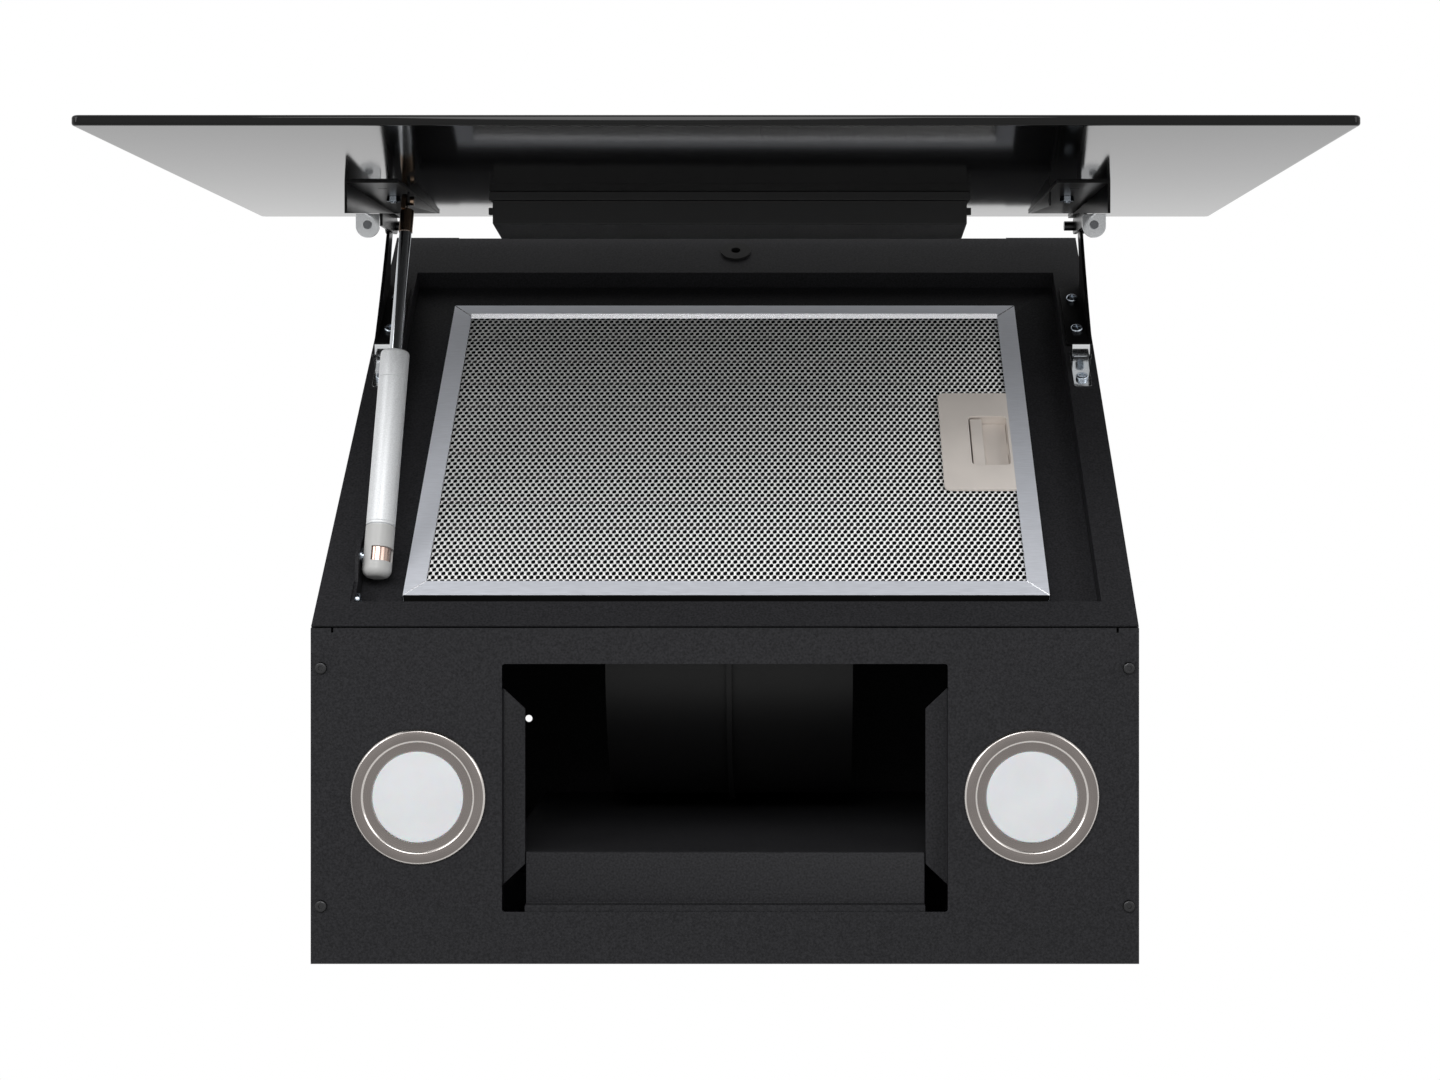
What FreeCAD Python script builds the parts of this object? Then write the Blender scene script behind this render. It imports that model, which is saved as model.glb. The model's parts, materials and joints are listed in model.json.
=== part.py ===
"""Inclined wall cooker hood with a glass front that opens on a gas strut.

X runs along the wall, the wall is the plane Y = 0 and the cook stands on the -Y side, +Z is up.
Everything is drawn with Z = 0 at the underside of the lamp panel. When it is written out it is
lowered, so that the origin is the middle of the four wall screw holes, on the wall's face.

The front face leans: a point on it is given by x, by t, the way up the incline from its lower edge,
and by h, the height out of the face. The glass front is drawn open, hanging upright.
"""
import FreeCAD
import Part
import math
import os
from FreeCAD import Placement, Rotation, Vector

# ---- Driving dimensions, in millimetres and degrees ----
# Body
BODY_WIDTH = 440.0
BOTTOM_DEPTH = 178.4
INCLINE_ANGLE = 50.8
INCLINE_LENGTH = 372.0
SHEET = 1.0
SEAM = 0.4
FLANGE = 14.0
TAP_CLEARANCE = 0.05
# Wall fixing
WALL_HOLES_UP = 150.0
WALL_HOLE_SPACING_X = 370.0
WALL_HOLE_SPACING_Z = 160.0
WALL_HOLE_RADIUS = 3.5
# Top panel
TOP_STEP_LEFT = -179.9
TOP_STEP_RIGHT = 174.9
TOP_STEP_DEPTH = 1.3
CHIMNEY_SPACING_X = 190.0
CHIMNEY_SPACING_Y = 30.0
CHIMNEY_FROM_WALL = 30.0
CHIMNEY_HOLE_RADIUS = 2.1
DRAIN_HOLE_X = -134.5
DRAIN_HOLE_Y = -101.0
DRAIN_HOLE_RADIUS = 2.25
# Lamp panel and the lower intake
INTAKE_WIDTH = 236.8
INTAKE_REAR = 27.6
INTAKE_DEPTH = 131.7
INTAKE_CORNER = 1.5
RELIEF_INSET = 12.0
RELIEF_WIDTH = 1.2
RELIEF_DEPTH = 2.5
LIP = 9.0
LAMP_X = 163.0
LAMP_Y = -88.7
BEZEL_RADIUS = 36.0
BEZEL_PROUD = 1.8
BEZEL_GROOVE_RADIUS = 30.0
LAMP_NECK_RADIUS = 29.0
LAMP_WALL = 1.2
DIFFUSER_RADIUS = 24.2
LAMP_CAN_HEIGHT = 14.0
LAMP_CLEARANCE = 0.15
PANEL_SCREW_INSET = 5.5
PANEL_SCREW_FRONT = 157.2
PANEL_SCREW_REAR = 30.8
PANEL_SCREW_HEAD = 3.2
# Side rails over the lower intake, and the plenum's back wall
RAIL_FLAP = 12.4
RAIL_MITRE = 10.7
RAIL_FRONT = 145.5
RAIL_REAR = 41.0
RAIL_HEIGHT = 9.0
RAIL_FOOT = 9.0
PLENUM_WALL_Y = 58.0
PLENUM_WALL_BEYOND = 1.6
PLENUM_FLANGE_INSET = 11.9
PLENUM_FLANGE_Z = 8.0
PLENUM_LIP_Y = 30.0
PLENUM_TOP_Z = 251.0
PLENUM_NOTCH_Z = 14.0
# Filter tray
RIM = 18.0
RECESS_START = 21.0
RECESS_TOP_MARGIN = 41.0
RECESS_DEPTH = 11.4
LEDGE = 8.0
LEDGE_GAP = 0.3
GROMMET_BELOW_TOP = 18.0
GROMMET_RADIUS = 9.5
GROMMET_NECK_RADIUS = 8.0
GROMMET_BORE = 3.0
# Grease filter
FILTER_WIDTH = 351.0
FILTER_START = 31.6
FILTER_LENGTH = 270.4
FILTER_THICKNESS = 9.0
FILTER_FACE_H = -5.0
FILTER_RAIL = 11.5
FILTER_SKIN = 1.0
FILTER_CLEARANCE = 1.0
MITRE_GAP = 0.15
MESH_GAP = 0.3
MESH_THICKNESS = 0.6
CORE_THICKNESS = 0.8
CORE_PLEATS = 12
FILTER_TAB = 5.0
FILTER_TAB_WIDTH = 14.0
FILTER_TAB_SPREAD = 140.0
LATCH_LEFT = 123.0
LATCH_START = 121.0
LATCH_WIDTH = 41.0
LATCH_LENGTH = 90.0
LATCH_PLATE = 1.4
LATCH_CORNER = 4.0
POCKET_LEFT = 140.0
POCKET_WIDTH = 22.6
POCKET_START = 143.0
POCKET_LENGTH = 46.0
POCKET_CORNER = 3.0
LATCH_TRAVEL = 6.0
SLIDER_WIDTH = 7.0
BOLT_WIDTH = 12.0
BOLT_THICKNESS = 1.2
BOLT_GAP = 0.3
LATCH_WALL = 1.2
SPRING_RADIUS = 1.8
SPRING_WIRE = 0.25
SPRING_TURNS = 5
# Glass front and its hinge
GLASS_WIDTH = 600.0
GLASS_HEIGHT = 414.0
GLASS_THICKNESS = 5.0
GLASS_CORNER = 4.0
GLASS_EDGE = 1.5
HINGE_BELOW_TOP = 26.0
HINGE_H = 25.5
HINGE_TO_GLASS = 5.6
GLASS_BELOW_HINGE = 2.0
HINGE_BOLT_RADIUS = 3.0
HINGE_BOLT_HEAD = 5.0
HINGE_BOLT_END_INSET = 11.5
HINGE_CLEARANCE = 0.06
ARM_INSET = 0.5
ARM_THICKNESS = 2.0
ARM_END_RADIUS = 5.2
ARM_FOOT = 1.5
LUG_GAP = 1.0
LUG_THICKNESS = 2.0
# Lid brackets, distances down from the hinge line
BRACKET_INNER_INSET = 37.5
BRACKET_OUTER_INSET = 8.0
BRACKET_NEAR = 197.0
BRACKET_FAR = 34.0
BRACKET_BASE = 1.2
BRACKET_WALL = 1.5
BRACKET_HEIGHT = 18.0
BRACKET_EAR_RADIUS = 2.8
HEAD_RIVET_RADIUS = 1.6
HEAD_RIVET_HEAD = 2.6
BRACKET_NUT_BELOW = 130.0
BRACKET_SLOT_BELOW = 169.0
NUT_INSET = 24.5
NUT_FLATS = 7.0
NUT_HEIGHT = 3.2
STUD_RADIUS = 1.95
# Catches
TONGUE_BELOW = 115.3
TONGUE_WIDTH = 14.0
TONGUE_THICKNESS = 1.5
TONGUE_REACH = 24.0
RIVET_REACH = 16.5
RIVET_RADIUS = 1.6
RIVET_HEAD = 2.6
CLIP_INSET = 10.0
CLIP_WIDTH = 10.5
CLIP_SHEET = 0.8
CLIP_HEIGHT = 14.0
CLIP_SLIT = 5.0
CLIP_FOOT = 16.0
# Gas strut
STRUT_RADIUS = 8.0
STRUT_WALL = 1.1
STRUT_SIDE_GAP = 1.1
STRUT_FOOT_T = 54.5
STRUT_FOOT_H = 3.0
STRUT_HEAD_INSET = 36.0
STRUT_HEAD_BELOW = 150.0
STRUT_HEAD_OFF_GLASS = 6.1
CAP_BELOW_FOOT = 12.3
CAP_ABOVE_FOOT = 16.5
CAP_WINDOW = 4.0
COLLAR_LENGTH = 16.0
STRUT_BODY_SHORT = 24.8
PISTON_SPARE = 4.0
ROD_RADIUS = 3.5
FITTING_RADIUS = 3.9
FITTING_START = 19.4
FITTING_END = 5.7
EYE_RADIUS = 4.0
EYE_THICKNESS = 2.8
EYE_OFFSET = 1.7
EYE_GAP = 0.3
BALL_RADIUS = 4.5
BALL_SHANK_RADIUS = 2.5
RUNNING = 0.05
STRUT_PLATE = 2.0
# Control housing on the glass
HOUSING_WIDTH = 273.0
HOUSING_DEPTH = 19.0
HOUSING_DEPTH_FAR = 23.4
HOUSING_STEP = 5.0
HOUSING_STEP_OUT = 1.8
HOUSING_BELOW = 101.0
HOUSING_HEIGHT = 42.0
HOUSING_WALL = 2.0
HOUSING_LUG = 4.0
BOARD_THICKNESS = 1.6
# Blower
BLOWER_Y = -165.0
BLOWER_Z = 185.0
BLOWER_WIDTH = 141.0
SCROLL_START = 80.0
SCROLL_END = 98.0
SCROLL_WALL = 2.0
THROAT_EXTRA = 22.0
INLET_RADIUS = 58.0
IMPELLER_RADIUS = 75.0
IMPELLER_WIDTH = 116.0
IMPELLER_INNER = 62.0
BLADES = 32
MOTOR_RADIUS = 42.0
MOTOR_LENGTH = 48.0
SHAFT_RADIUS = 4.0
HUB_RADIUS = 12.0
HUB_LENGTH = 16.0
# Outlet
COLLAR_RADIUS = 74.5
COLLAR_WALL = 1.5
COLLAR_HEIGHT = 58.0
OUTLET_RADIUS = 60.0
SPIGOT_BASE = 170.0
FLAP_RADIUS = 72.0
FLAP_THICKNESS = 1.0
FLAP_PIN_UP = 6.2
FLAP_PIN_RADIUS = 1.5
FLAP_CLEARANCE = 0.08
# Electrics
POWER_BOX = (120.0, 47.0, 80.0)
POWER_BOX_Z = 120.0
TERMINAL = (60.0, 20.0, 20.0)
CAPACITOR_X = 95.0
CAPACITOR_RADIUS = 15.0
CAPACITOR_LENGTH = 60.0
GLAND_X = 150.0
GLAND_Y = -30.0
GLAND_RADIUS = 8.0
GLAND_FLANGE = 11.0
GLAND_BORE = 3.8
# Fasteners
SCREW_RADIUS = 2.0
PAN_HEAD_RADIUS = 3.75
PAN_HEAD_HEIGHT = 2.4
SCREW_LENGTH = 6.0
ARM_SCREWS_BELOW_HINGE = (79.0, 47.0)
CLIP_SCREW_BELOW = 11.0

# ---- Values worked out from them ----
HALF = BODY_WIDTH / 2
SIN = math.sin(math.radians(INCLINE_ANGLE))
COS = math.cos(math.radians(INCLINE_ANGLE))
BODY_HEIGHT = INCLINE_LENGTH * SIN
TOP_UNDER = BODY_HEIGHT - SHEET
CLOSING = 90.0 - INCLINE_ANGLE
X_AXIS = Vector(1, 0, 0)
ON_INCLINE = Placement(Vector(0, -BOTTOM_DEPTH, 0), Rotation(X_AXIS, 180 - INCLINE_ANGLE))
RECESS_END = INCLINE_LENGTH - RECESS_TOP_MARGIN
FILTER_HALF = FILTER_WIDTH / 2
FILTER_END = FILTER_START + FILTER_LENGTH
FILTER_BACK_H = FILTER_FACE_H - FILTER_THICKNESS
LEDGE_H = FILTER_BACK_H - LEDGE_GAP
FLOOR_H = -RECESS_DEPTH
HINGE_T = INCLINE_LENGTH - HINGE_BELOW_TOP
HINGE = ON_INCLINE.multVec(Vector(0, HINGE_T, HINGE_H))
GLASS_BACK = HINGE.y - HINGE_TO_GLASS
GLASS_TOP = HINGE.z - GLASS_BELOW_HINGE
ARM_OUT = HALF - ARM_INSET
ARM_IN = ARM_OUT - ARM_THICKNESS
LUG_OUT = ARM_IN - LUG_GAP
LUG_IN = LUG_OUT - LUG_THICKNESS
TONGUE_T = HINGE_T - TONGUE_BELOW - TONGUE_THICKNESS / 2
PLENUM_WALL_WIDTH = INTAKE_WIDTH + 2 * PLENUM_WALL_BEYOND
PLENUM_FLANGE_WIDTH = INTAKE_WIDTH - 2 * PLENUM_FLANGE_INSET
STRUT_FOOT_INSET = RIM + STRUT_PLATE + STRUT_RADIUS + STRUT_SIDE_GAP
STRUT_FOOT = ON_INCLINE.multVec(Vector(STRUT_FOOT_INSET - HALF, STRUT_FOOT_T, STRUT_FOOT_H))
STRUT_HEAD = Vector(STRUT_HEAD_INSET - HALF, GLASS_BACK + STRUT_HEAD_OFF_GLASS, HINGE.z - STRUT_HEAD_BELOW)
HEAD_CLOSED = HINGE + Rotation(X_AXIS, CLOSING).multVec(STRUT_HEAD - HINGE)
STRUT_OPEN = STRUT_HEAD.distanceToPoint(STRUT_FOOT)
STRUT_CLOSED = HEAD_CLOSED.distanceToPoint(STRUT_FOOT)
STROKE = STRUT_OPEN - STRUT_CLOSED
STRUT_TOP = STRUT_CLOSED - STRUT_BODY_SHORT
ON_STRUT = Placement(STRUT_FOOT, Rotation(Vector(0, 0, 1), STRUT_HEAD - STRUT_FOOT))
OUTLET_Y = BLOWER_Y + (SCROLL_END - THROAT_EXTRA) / 2


# ---- Shapes that the pieces share ----
def box(x0, x1, y0, y1, z0, z1):
    """A block between two values on each axis."""
    return Part.makeBox(x1 - x0, y1 - y0, z1 - z0, Vector(x0, y0, z0))


def rod(radius, start, end):
    """A round bar from one point to another."""
    start = Vector(*start)
    along = Vector(*end) - start
    return Part.makeCylinder(radius, along.Length, start, along)


def tube(outer, inner, start, end):
    return rod(outer, start, end).cut(rod(inner, start, end))


def side_plate(points, x0, x1):
    """An outline in the Y-Z plane, given as (y, z), with its thickness along X."""
    corners = [Vector(x0, y, z) for y, z in points]
    return Part.Face(Part.makePolygon(corners + corners[:1])).extrude(Vector(x1 - x0, 0, 0))


def flat_plate(points, z0, z1):
    """An outline in the X-Y plane, given as (x, y), with its thickness along Z."""
    corners = [Vector(x, y, z0) for x, y in points]
    return Part.Face(Part.makePolygon(corners + corners[:1])).extrude(Vector(0, 0, z1 - z0))


def rounded_block(x0, x1, y0, y1, z0, z1, radius):
    """A block whose four edges along Z are rounded."""
    block = box(x0, x1, y0, y1, z0, z1)
    upright = [e for e in block.Edges if abs(e.tangentAt(e.FirstParameter).z) > 0.9]
    return block.makeFillet(radius, upright)


def join(*shapes):
    """Pieces bent from or welded to one another, as one solid."""
    return shapes[0].multiFuse(list(shapes[1:])).removeSplitter()


def group(shapes):
    """Separate solids that share a node."""
    return Part.makeCompound(shapes)


def mirrored(shape):
    return shape.mirror(Vector(0, 0, 0), X_AXIS)


def place(placement, shape):
    """A shape drawn about the origin, carried to its place."""
    moved = shape.copy()
    moved.Placement = placement.multiply(moved.Placement)
    return moved


def incline(shape):
    """A shape drawn in x, t, h, put on the leaning face."""
    return place(ON_INCLINE, shape)


def incline_y(z, h):
    """Where the plane h above the leaning face is, at height z."""
    return -BOTTOM_DEPTH - COS * (z + COS * h) / SIN - SIN * h


def above_top():
    """The space over the top panel's underside."""
    return box(-HALF - 1, HALF + 1, -BOTTOM_DEPTH - INCLINE_LENGTH, 1, TOP_UNDER, BODY_HEIGHT + 60)


def pan_screw():
    """A pan-head screw with a cross recess, its seat at the origin and its head along +Z."""
    head = Part.makeCylinder(PAN_HEAD_RADIUS, PAN_HEAD_HEIGHT)
    head = head.makeFillet(1.2, [head.Edges[0]])
    head = head.cut(box(-2.2, 2.2, -0.5, 0.5, 1.4, 3)).cut(box(-0.5, 0.5, -2.2, 2.2, 1.4, 3))
    return join(head, rod(SCREW_RADIUS, (0, 0, -SCREW_LENGTH), (0, 0, 0.1)))


def hexagon(flats, x, y, z0, z1):
    """A hexagonal bar along Z."""
    reach = flats / math.sqrt(3)
    corners = [math.radians(60 * i) for i in range(6)]
    return flat_plate([(x + reach * math.cos(a), y + reach * math.sin(a)) for a in corners], z0, z1)


def button_screw(x, y):
    """A button-head screw with a hexagon socket, up through the lamp panel."""
    head = rod(PANEL_SCREW_HEAD, (x, y, 0), (x, y, -1.7))
    head = head.makeFillet(1.1, [head.Edges[0]])
    head = head.cut(hexagon(2.5, x, y, -3, -0.7))
    return join(head, rod(SCREW_RADIUS, (x, y, -0.1), (x, y, SCREW_LENGTH)))


# ---- Where the body's screws go ----
def rim_screws():
    """Seats of the pan-head screws on the rim, as (x, t, h), for both sides."""
    seats = [(HALF - RIM / 2, HINGE_T - below, ARM_FOOT) for below in ARM_SCREWS_BELOW_HINGE]
    seats.append((HALF - CLIP_INSET, TONGUE_T - CLIP_SCREW_BELOW, CLIP_SHEET))
    return seats + [(-x, t, h) for x, t, h in seats]


def rim_holes(extra):
    """Holes for those screws through everything that they clamp."""
    return group([rod(SCREW_RADIUS + extra, (x, t, -9), (x, t, 9)) for x, t, h in rim_screws()])


def panel_screw_places():
    x = HALF - PANEL_SCREW_INSET
    return [(sx * x, -y) for sx in (-1, 1) for y in (PANEL_SCREW_FRONT, PANEL_SCREW_REAR)]


# ---- Body panels ----
def side_panel_right():
    """A side sheet with flanges bent inwards at its bottom, front, top and back."""
    outline = [(-SHEET, SHEET), (incline_y(SHEET, -SHEET), SHEET)]
    outline += [(incline_y(TOP_UNDER, -SHEET), TOP_UNDER), (-SHEET, TOP_UNDER)]
    x0, x1 = HALF - SHEET - FLANGE, HALF - SHEET
    front = incline(box(x0, x1, RIM, INCLINE_LENGTH - RIM, -2 * SHEET, -SHEET).cut(rim_holes(TAP_CLEARANCE)))
    top_front = incline_y(TOP_UNDER, -SHEET) + RIM
    pieces = [side_plate(outline, HALF - SHEET, HALF), front]
    bottom = box(x0, x1, -BOTTOM_DEPTH + LIP, -FLANGE, SHEET, 2 * SHEET)
    for x, y in panel_screw_places():
        bottom = bottom.cut(rod(SCREW_RADIUS + TAP_CLEARANCE, (x, y, 0), (x, y, 9)))
    pieces.append(bottom)
    pieces.append(box(x0, x1, top_front, -FLANGE, TOP_UNDER - SHEET, TOP_UNDER))
    pieces.append(box(x0, x1, -2 * SHEET, -SHEET, FLANGE, TOP_UNDER - FLANGE))
    return join(*pieces)


def back_panel():
    """The sheet against the wall, with four screw holes about the origin."""
    sheet = box(-HALF, HALF, -SHEET, 0, SHEET, TOP_UNDER)
    for x in (-WALL_HOLE_SPACING_X / 2, WALL_HOLE_SPACING_X / 2):
        for z in (-WALL_HOLE_SPACING_Z / 2, WALL_HOLE_SPACING_Z / 2):
            hole_z = WALL_HOLES_UP + z
            sheet = sheet.cut(rod(WALL_HOLE_RADIUS, (x, -5, hole_z), (x, 5, hole_z)))
    return sheet


def top_step():
    """The strip by which the middle of the top front edge stands back."""
    high = INCLINE_LENGTH - TOP_STEP_DEPTH / COS
    return incline(box(TOP_STEP_LEFT, TOP_STEP_RIGHT, high, INCLINE_LENGTH + 9, -9, 9))


def top_panel():
    """The top sheet, with the air outlet, the chimney screw holes and the cable gland's hole."""
    sheet = box(-HALF, HALF, incline_y(TOP_UNDER, 0), 0, TOP_UNDER, BODY_HEIGHT)
    z0, z1 = TOP_UNDER - 5, BODY_HEIGHT + 5
    holes = [rod(OUTLET_RADIUS, (0, OUTLET_Y, z0), (0, OUTLET_Y, z1))]
    holes.append(rod(DRAIN_HOLE_RADIUS, (DRAIN_HOLE_X, DRAIN_HOLE_Y, z0), (DRAIN_HOLE_X, DRAIN_HOLE_Y, z1)))
    holes.append(rod(GLAND_RADIUS, (GLAND_X, GLAND_Y, z0), (GLAND_X, GLAND_Y, z1)))
    for x in (-CHIMNEY_SPACING_X / 2, CHIMNEY_SPACING_X / 2):
        for dy in (-CHIMNEY_SPACING_Y / 2, CHIMNEY_SPACING_Y / 2):
            y = -CHIMNEY_FROM_WALL + dy
            holes.append(rod(CHIMNEY_HOLE_RADIUS, (x, y, z0), (x, y, z1)))
    return sheet.cut(holes + [top_step()])


def lamp_panel():
    """The bottom sheet: a front lip between two relief notches, the intake, lamp and screw holes."""
    sheet = box(-HALF, HALF, -BOTTOM_DEPTH, 0, 0, SHEET)
    inner = HALF - RELIEF_INSET
    lip = box(-inner, inner, -BOTTOM_DEPTH + SHEET, -BOTTOM_DEPTH + 2 * SHEET, SHEET - 0.1, LIP)
    half = INTAKE_WIDTH / 2
    front = -INTAKE_REAR - INTAKE_DEPTH
    holes = [rounded_block(-half, half, front, -INTAKE_REAR, -1, 2, INTAKE_CORNER)]
    for x in (-inner - RELIEF_WIDTH, inner):
        holes.append(box(x, x + RELIEF_WIDTH, -BOTTOM_DEPTH - 1, -BOTTOM_DEPTH + RELIEF_DEPTH, -1, 2))
    for x in (-LAMP_X, LAMP_X):
        holes.append(rod(LAMP_NECK_RADIUS + LAMP_CLEARANCE, (x, LAMP_Y, -1), (x, LAMP_Y, 2)))
    for x, y in panel_screw_places():
        holes.append(rod(SCREW_RADIUS + 2 * TAP_CLEARANCE, (x, y, -1), (x, y, 2)))
    return join(sheet, lip).cut(holes)


def lamp_panel_screws():
    return group([button_screw(x, y) for x, y in panel_screw_places()])


def intake_rail_right():
    """A rail beside the intake: foot, low wall, and a flap over the opening with mitred ends."""
    x = INTAKE_WIDTH / 2
    top = RAIL_HEIGHT + SHEET
    foot = box(x, x + RAIL_FOOT, -RAIL_FRONT, -RAIL_REAR, SHEET, 2 * SHEET)
    wall = box(x, x + SHEET, -RAIL_FRONT, -RAIL_REAR, SHEET, top)
    edge = x + SHEET - RAIL_FLAP
    flap = flat_plate([(x + SHEET, -RAIL_FRONT), (x, -RAIL_FRONT), (edge, -RAIL_FRONT + RAIL_MITRE),
                       (edge, -RAIL_REAR - RAIL_MITRE), (x, -RAIL_REAR), (x + SHEET, -RAIL_REAR)],
                      RAIL_HEIGHT, top)
    return join(foot, wall, flap)


def plenum_back_wall():
    """The wall behind the intake, its flange over the intake's rear edge, and the shelf at its top."""
    half, low_half = PLENUM_WALL_WIDTH / 2, PLENUM_FLANGE_WIDTH / 2
    face = -PLENUM_WALL_Y
    wall = box(-half, half, face, face + SHEET, PLENUM_NOTCH_Z, PLENUM_TOP_Z)
    neck = box(-low_half, low_half, face, face + SHEET, PLENUM_FLANGE_Z, PLENUM_NOTCH_Z)
    flange = box(-low_half, low_half, face, -PLENUM_LIP_Y, PLENUM_FLANGE_Z, PLENUM_FLANGE_Z + SHEET)
    lip = box(-low_half, low_half, -PLENUM_LIP_Y - SHEET, -PLENUM_LIP_Y, SHEET, PLENUM_FLANGE_Z + SHEET)
    foot = box(-low_half, low_half, -PLENUM_LIP_Y, -FLANGE, SHEET, 2 * SHEET)
    shelf = box(-half, half, face, -SHEET, PLENUM_TOP_Z - SHEET, PLENUM_TOP_Z)
    rear = box(-half, half, -2 * SHEET, -SHEET, PLENUM_TOP_Z - FLANGE, PLENUM_TOP_Z)
    return join(wall, neck, flange, lip, foot, shelf, rear)


def recess_block(grow, h0, h1):
    """The space of the tray's recess, grown by a margin, between two heights."""
    half = HALF - RIM + grow
    return box(-half, half, RECESS_START - grow, RECESS_END + grow, h0, h1)


def opening_block(grow, h0, h1):
    """The space that the filter fills, grown by a margin, between two heights."""
    half = FILTER_HALF + grow
    return box(-half, half, FILTER_START - grow, FILTER_END + grow, h0, h1)


def tab_places():
    """How far up the incline the filter's two tabs are."""
    middle = FILTER_START + FILTER_LENGTH / 2
    return (middle - FILTER_TAB_SPREAD / 2, middle + FILTER_TAB_SPREAD / 2)


def filter_tray():
    """The pressed front: rim, recess, and a framed opening with a ledge behind the filter."""
    start = (SHEET + SEAM) / SIN
    plate = box(-HALF, HALF, start, INCLINE_LENGTH + SHEET, -SHEET, 0)
    low = LEDGE_H - SHEET
    solid = join(plate, recess_block(SHEET, FLOOR_H - SHEET, 0),
                 opening_block(FILTER_CLEARANCE + SHEET, low, FLOOR_H))
    cuts = [recess_block(0, FLOOR_H, 1), opening_block(FILTER_CLEARANCE, LEDGE_H, 0)]
    cuts.append(opening_block(-LEDGE, low - 1, 0))
    grommet_t = INCLINE_LENGTH - GROMMET_BELOW_TOP
    cuts.append(rod(GROMMET_NECK_RADIUS, (0, grommet_t, -5), (0, grommet_t, 5)))
    wall = FILTER_HALF + FILTER_CLEARANCE
    reach = FILTER_TAB_WIDTH / 2 + FILTER_CLEARANCE
    for t in tab_places():
        cuts.append(box(-wall - SHEET - 1, -wall + 0.1, t - reach, t + reach, LEDGE_H, FLOOR_H - SHEET))
    cuts.append(rim_holes(2 * TAP_CLEARANCE))
    x, t, h = strut_screw_place()
    cuts.append(rod(SCREW_RADIUS + TAP_CLEARANCE, (x - 5, t, h), (x + 5, t, h)))
    return incline(solid.cut(cuts)).cut([above_top(), top_step()])


def cable_grommet():
    """A rubber ring snapped into the tray's upper strip."""
    t = INCLINE_LENGTH - GROMMET_BELOW_TOP
    ring = join(rod(GROMMET_RADIUS, (0, t, 0), (0, t, 1.6)), rod(GROMMET_NECK_RADIUS, (0, t, -2), (0, t, 0.1)),
                rod(GROMMET_RADIUS, (0, t, -SHEET - 1.6), (0, t, -SHEET)))
    return incline(ring.cut(rod(GROMMET_BORE, (0, t, -9), (0, t, 9))))


# ---- Lamps ----
def lamp_bezel(x):
    """A turned ring: broad lip with a groove, and a neck up through the panel."""
    bore = DIFFUSER_RADIUS + LAMP_CLEARANCE
    inner = LAMP_NECK_RADIUS - LAMP_WALL
    groove = BEZEL_GROOVE_RADIUS
    profile = [(bore, 0), (bore, -BEZEL_PROUD + 0.7), (groove - 1.2, -BEZEL_PROUD + 0.3),
               (groove - 0.6, -BEZEL_PROUD + 0.7), (groove, -BEZEL_PROUD), (BEZEL_RADIUS - 1.5, -BEZEL_PROUD),
               (BEZEL_RADIUS, -0.6), (BEZEL_RADIUS, 0), (LAMP_NECK_RADIUS, 0), (LAMP_NECK_RADIUS, LIP - 1),
               (inner, LIP - 1), (inner, 0.4), (bore, 0.4)]
    corners = [Vector(r, 0, z) for r, z in profile]
    ring = Part.Face(Part.makePolygon(corners + corners[:1])).revolve(Vector(0, 0, 0), Vector(0, 0, 1), 360)
    return place(Placement(Vector(x, LAMP_Y, 0), Rotation()), ring)


def lamp_diffuser(x):
    """The opal disc, set a little inside the bezel."""
    return rod(DIFFUSER_RADIUS, (x, LAMP_Y, -BEZEL_PROUD + 0.8), (x, LAMP_Y, 0.8))


def lamp_can(x):
    """The lamp's heat-sink can behind the disc."""
    radius = LAMP_NECK_RADIUS - LAMP_WALL - LAMP_CLEARANCE
    can = rod(radius, (x, LAMP_Y, 0.9), (x, LAMP_Y, LAMP_CAN_HEIGHT))
    return join(can, rod(radius / 3, (x, LAMP_Y, LAMP_CAN_HEIGHT - 1), (x, LAMP_Y, LAMP_CAN_HEIGHT + 4)))


# ---- Hinge arms, catches and the body's screws ----
def arm_outline():
    """The curved blade of a hinge arm in t, h: a wide foot that sweeps up to a round end at the pivot."""
    foot_low, foot_high = HINGE_T - 94, HINGE_T - 28
    outer_mid, outer_end = Vector(0, HINGE_T - 48, 13.5), Vector(0, HINGE_T - 1, HINGE_H + ARM_END_RADIUS - 0.1)
    inner_start, inner_mid = Vector(0, HINGE_T + 3.2, HINGE_H - 4.1), Vector(0, HINGE_T - 13, 13)
    edges = [Part.Arc(Vector(0, foot_low, 0), outer_mid, outer_end).toShape(),
             Part.Arc(outer_end, Vector(0, HINGE_T + ARM_END_RADIUS, HINGE_H), inner_start).toShape(),
             Part.Arc(inner_start, inner_mid, Vector(0, foot_high, 0)).toShape(),
             Part.LineSegment(Vector(0, foot_high, 0), Vector(0, foot_low, 0)).toShape()]
    return Part.Face(Part.Wire(edges))


def hinge_arm_right():
    """A curved steel blade with a foot screwed to the rim and a hole for the hinge bolt."""
    blade = arm_outline().extrude(Vector(ARM_THICKNESS, 0, 0))
    blade.translate(Vector(ARM_IN, 0, 0))
    foot = rounded_block(HALF - RIM + 2, ARM_OUT, HINGE_T - 94, HINGE_T - 34, 0, ARM_FOOT, 1.0)
    bore = rod(HINGE_BOLT_RADIUS, (ARM_IN - 1, HINGE_T, HINGE_H), (ARM_OUT + 1, HINGE_T, HINGE_H))
    holes = rim_holes(2 * TAP_CLEARANCE)
    return incline(join(blade, foot).cut([bore, holes]))


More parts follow.
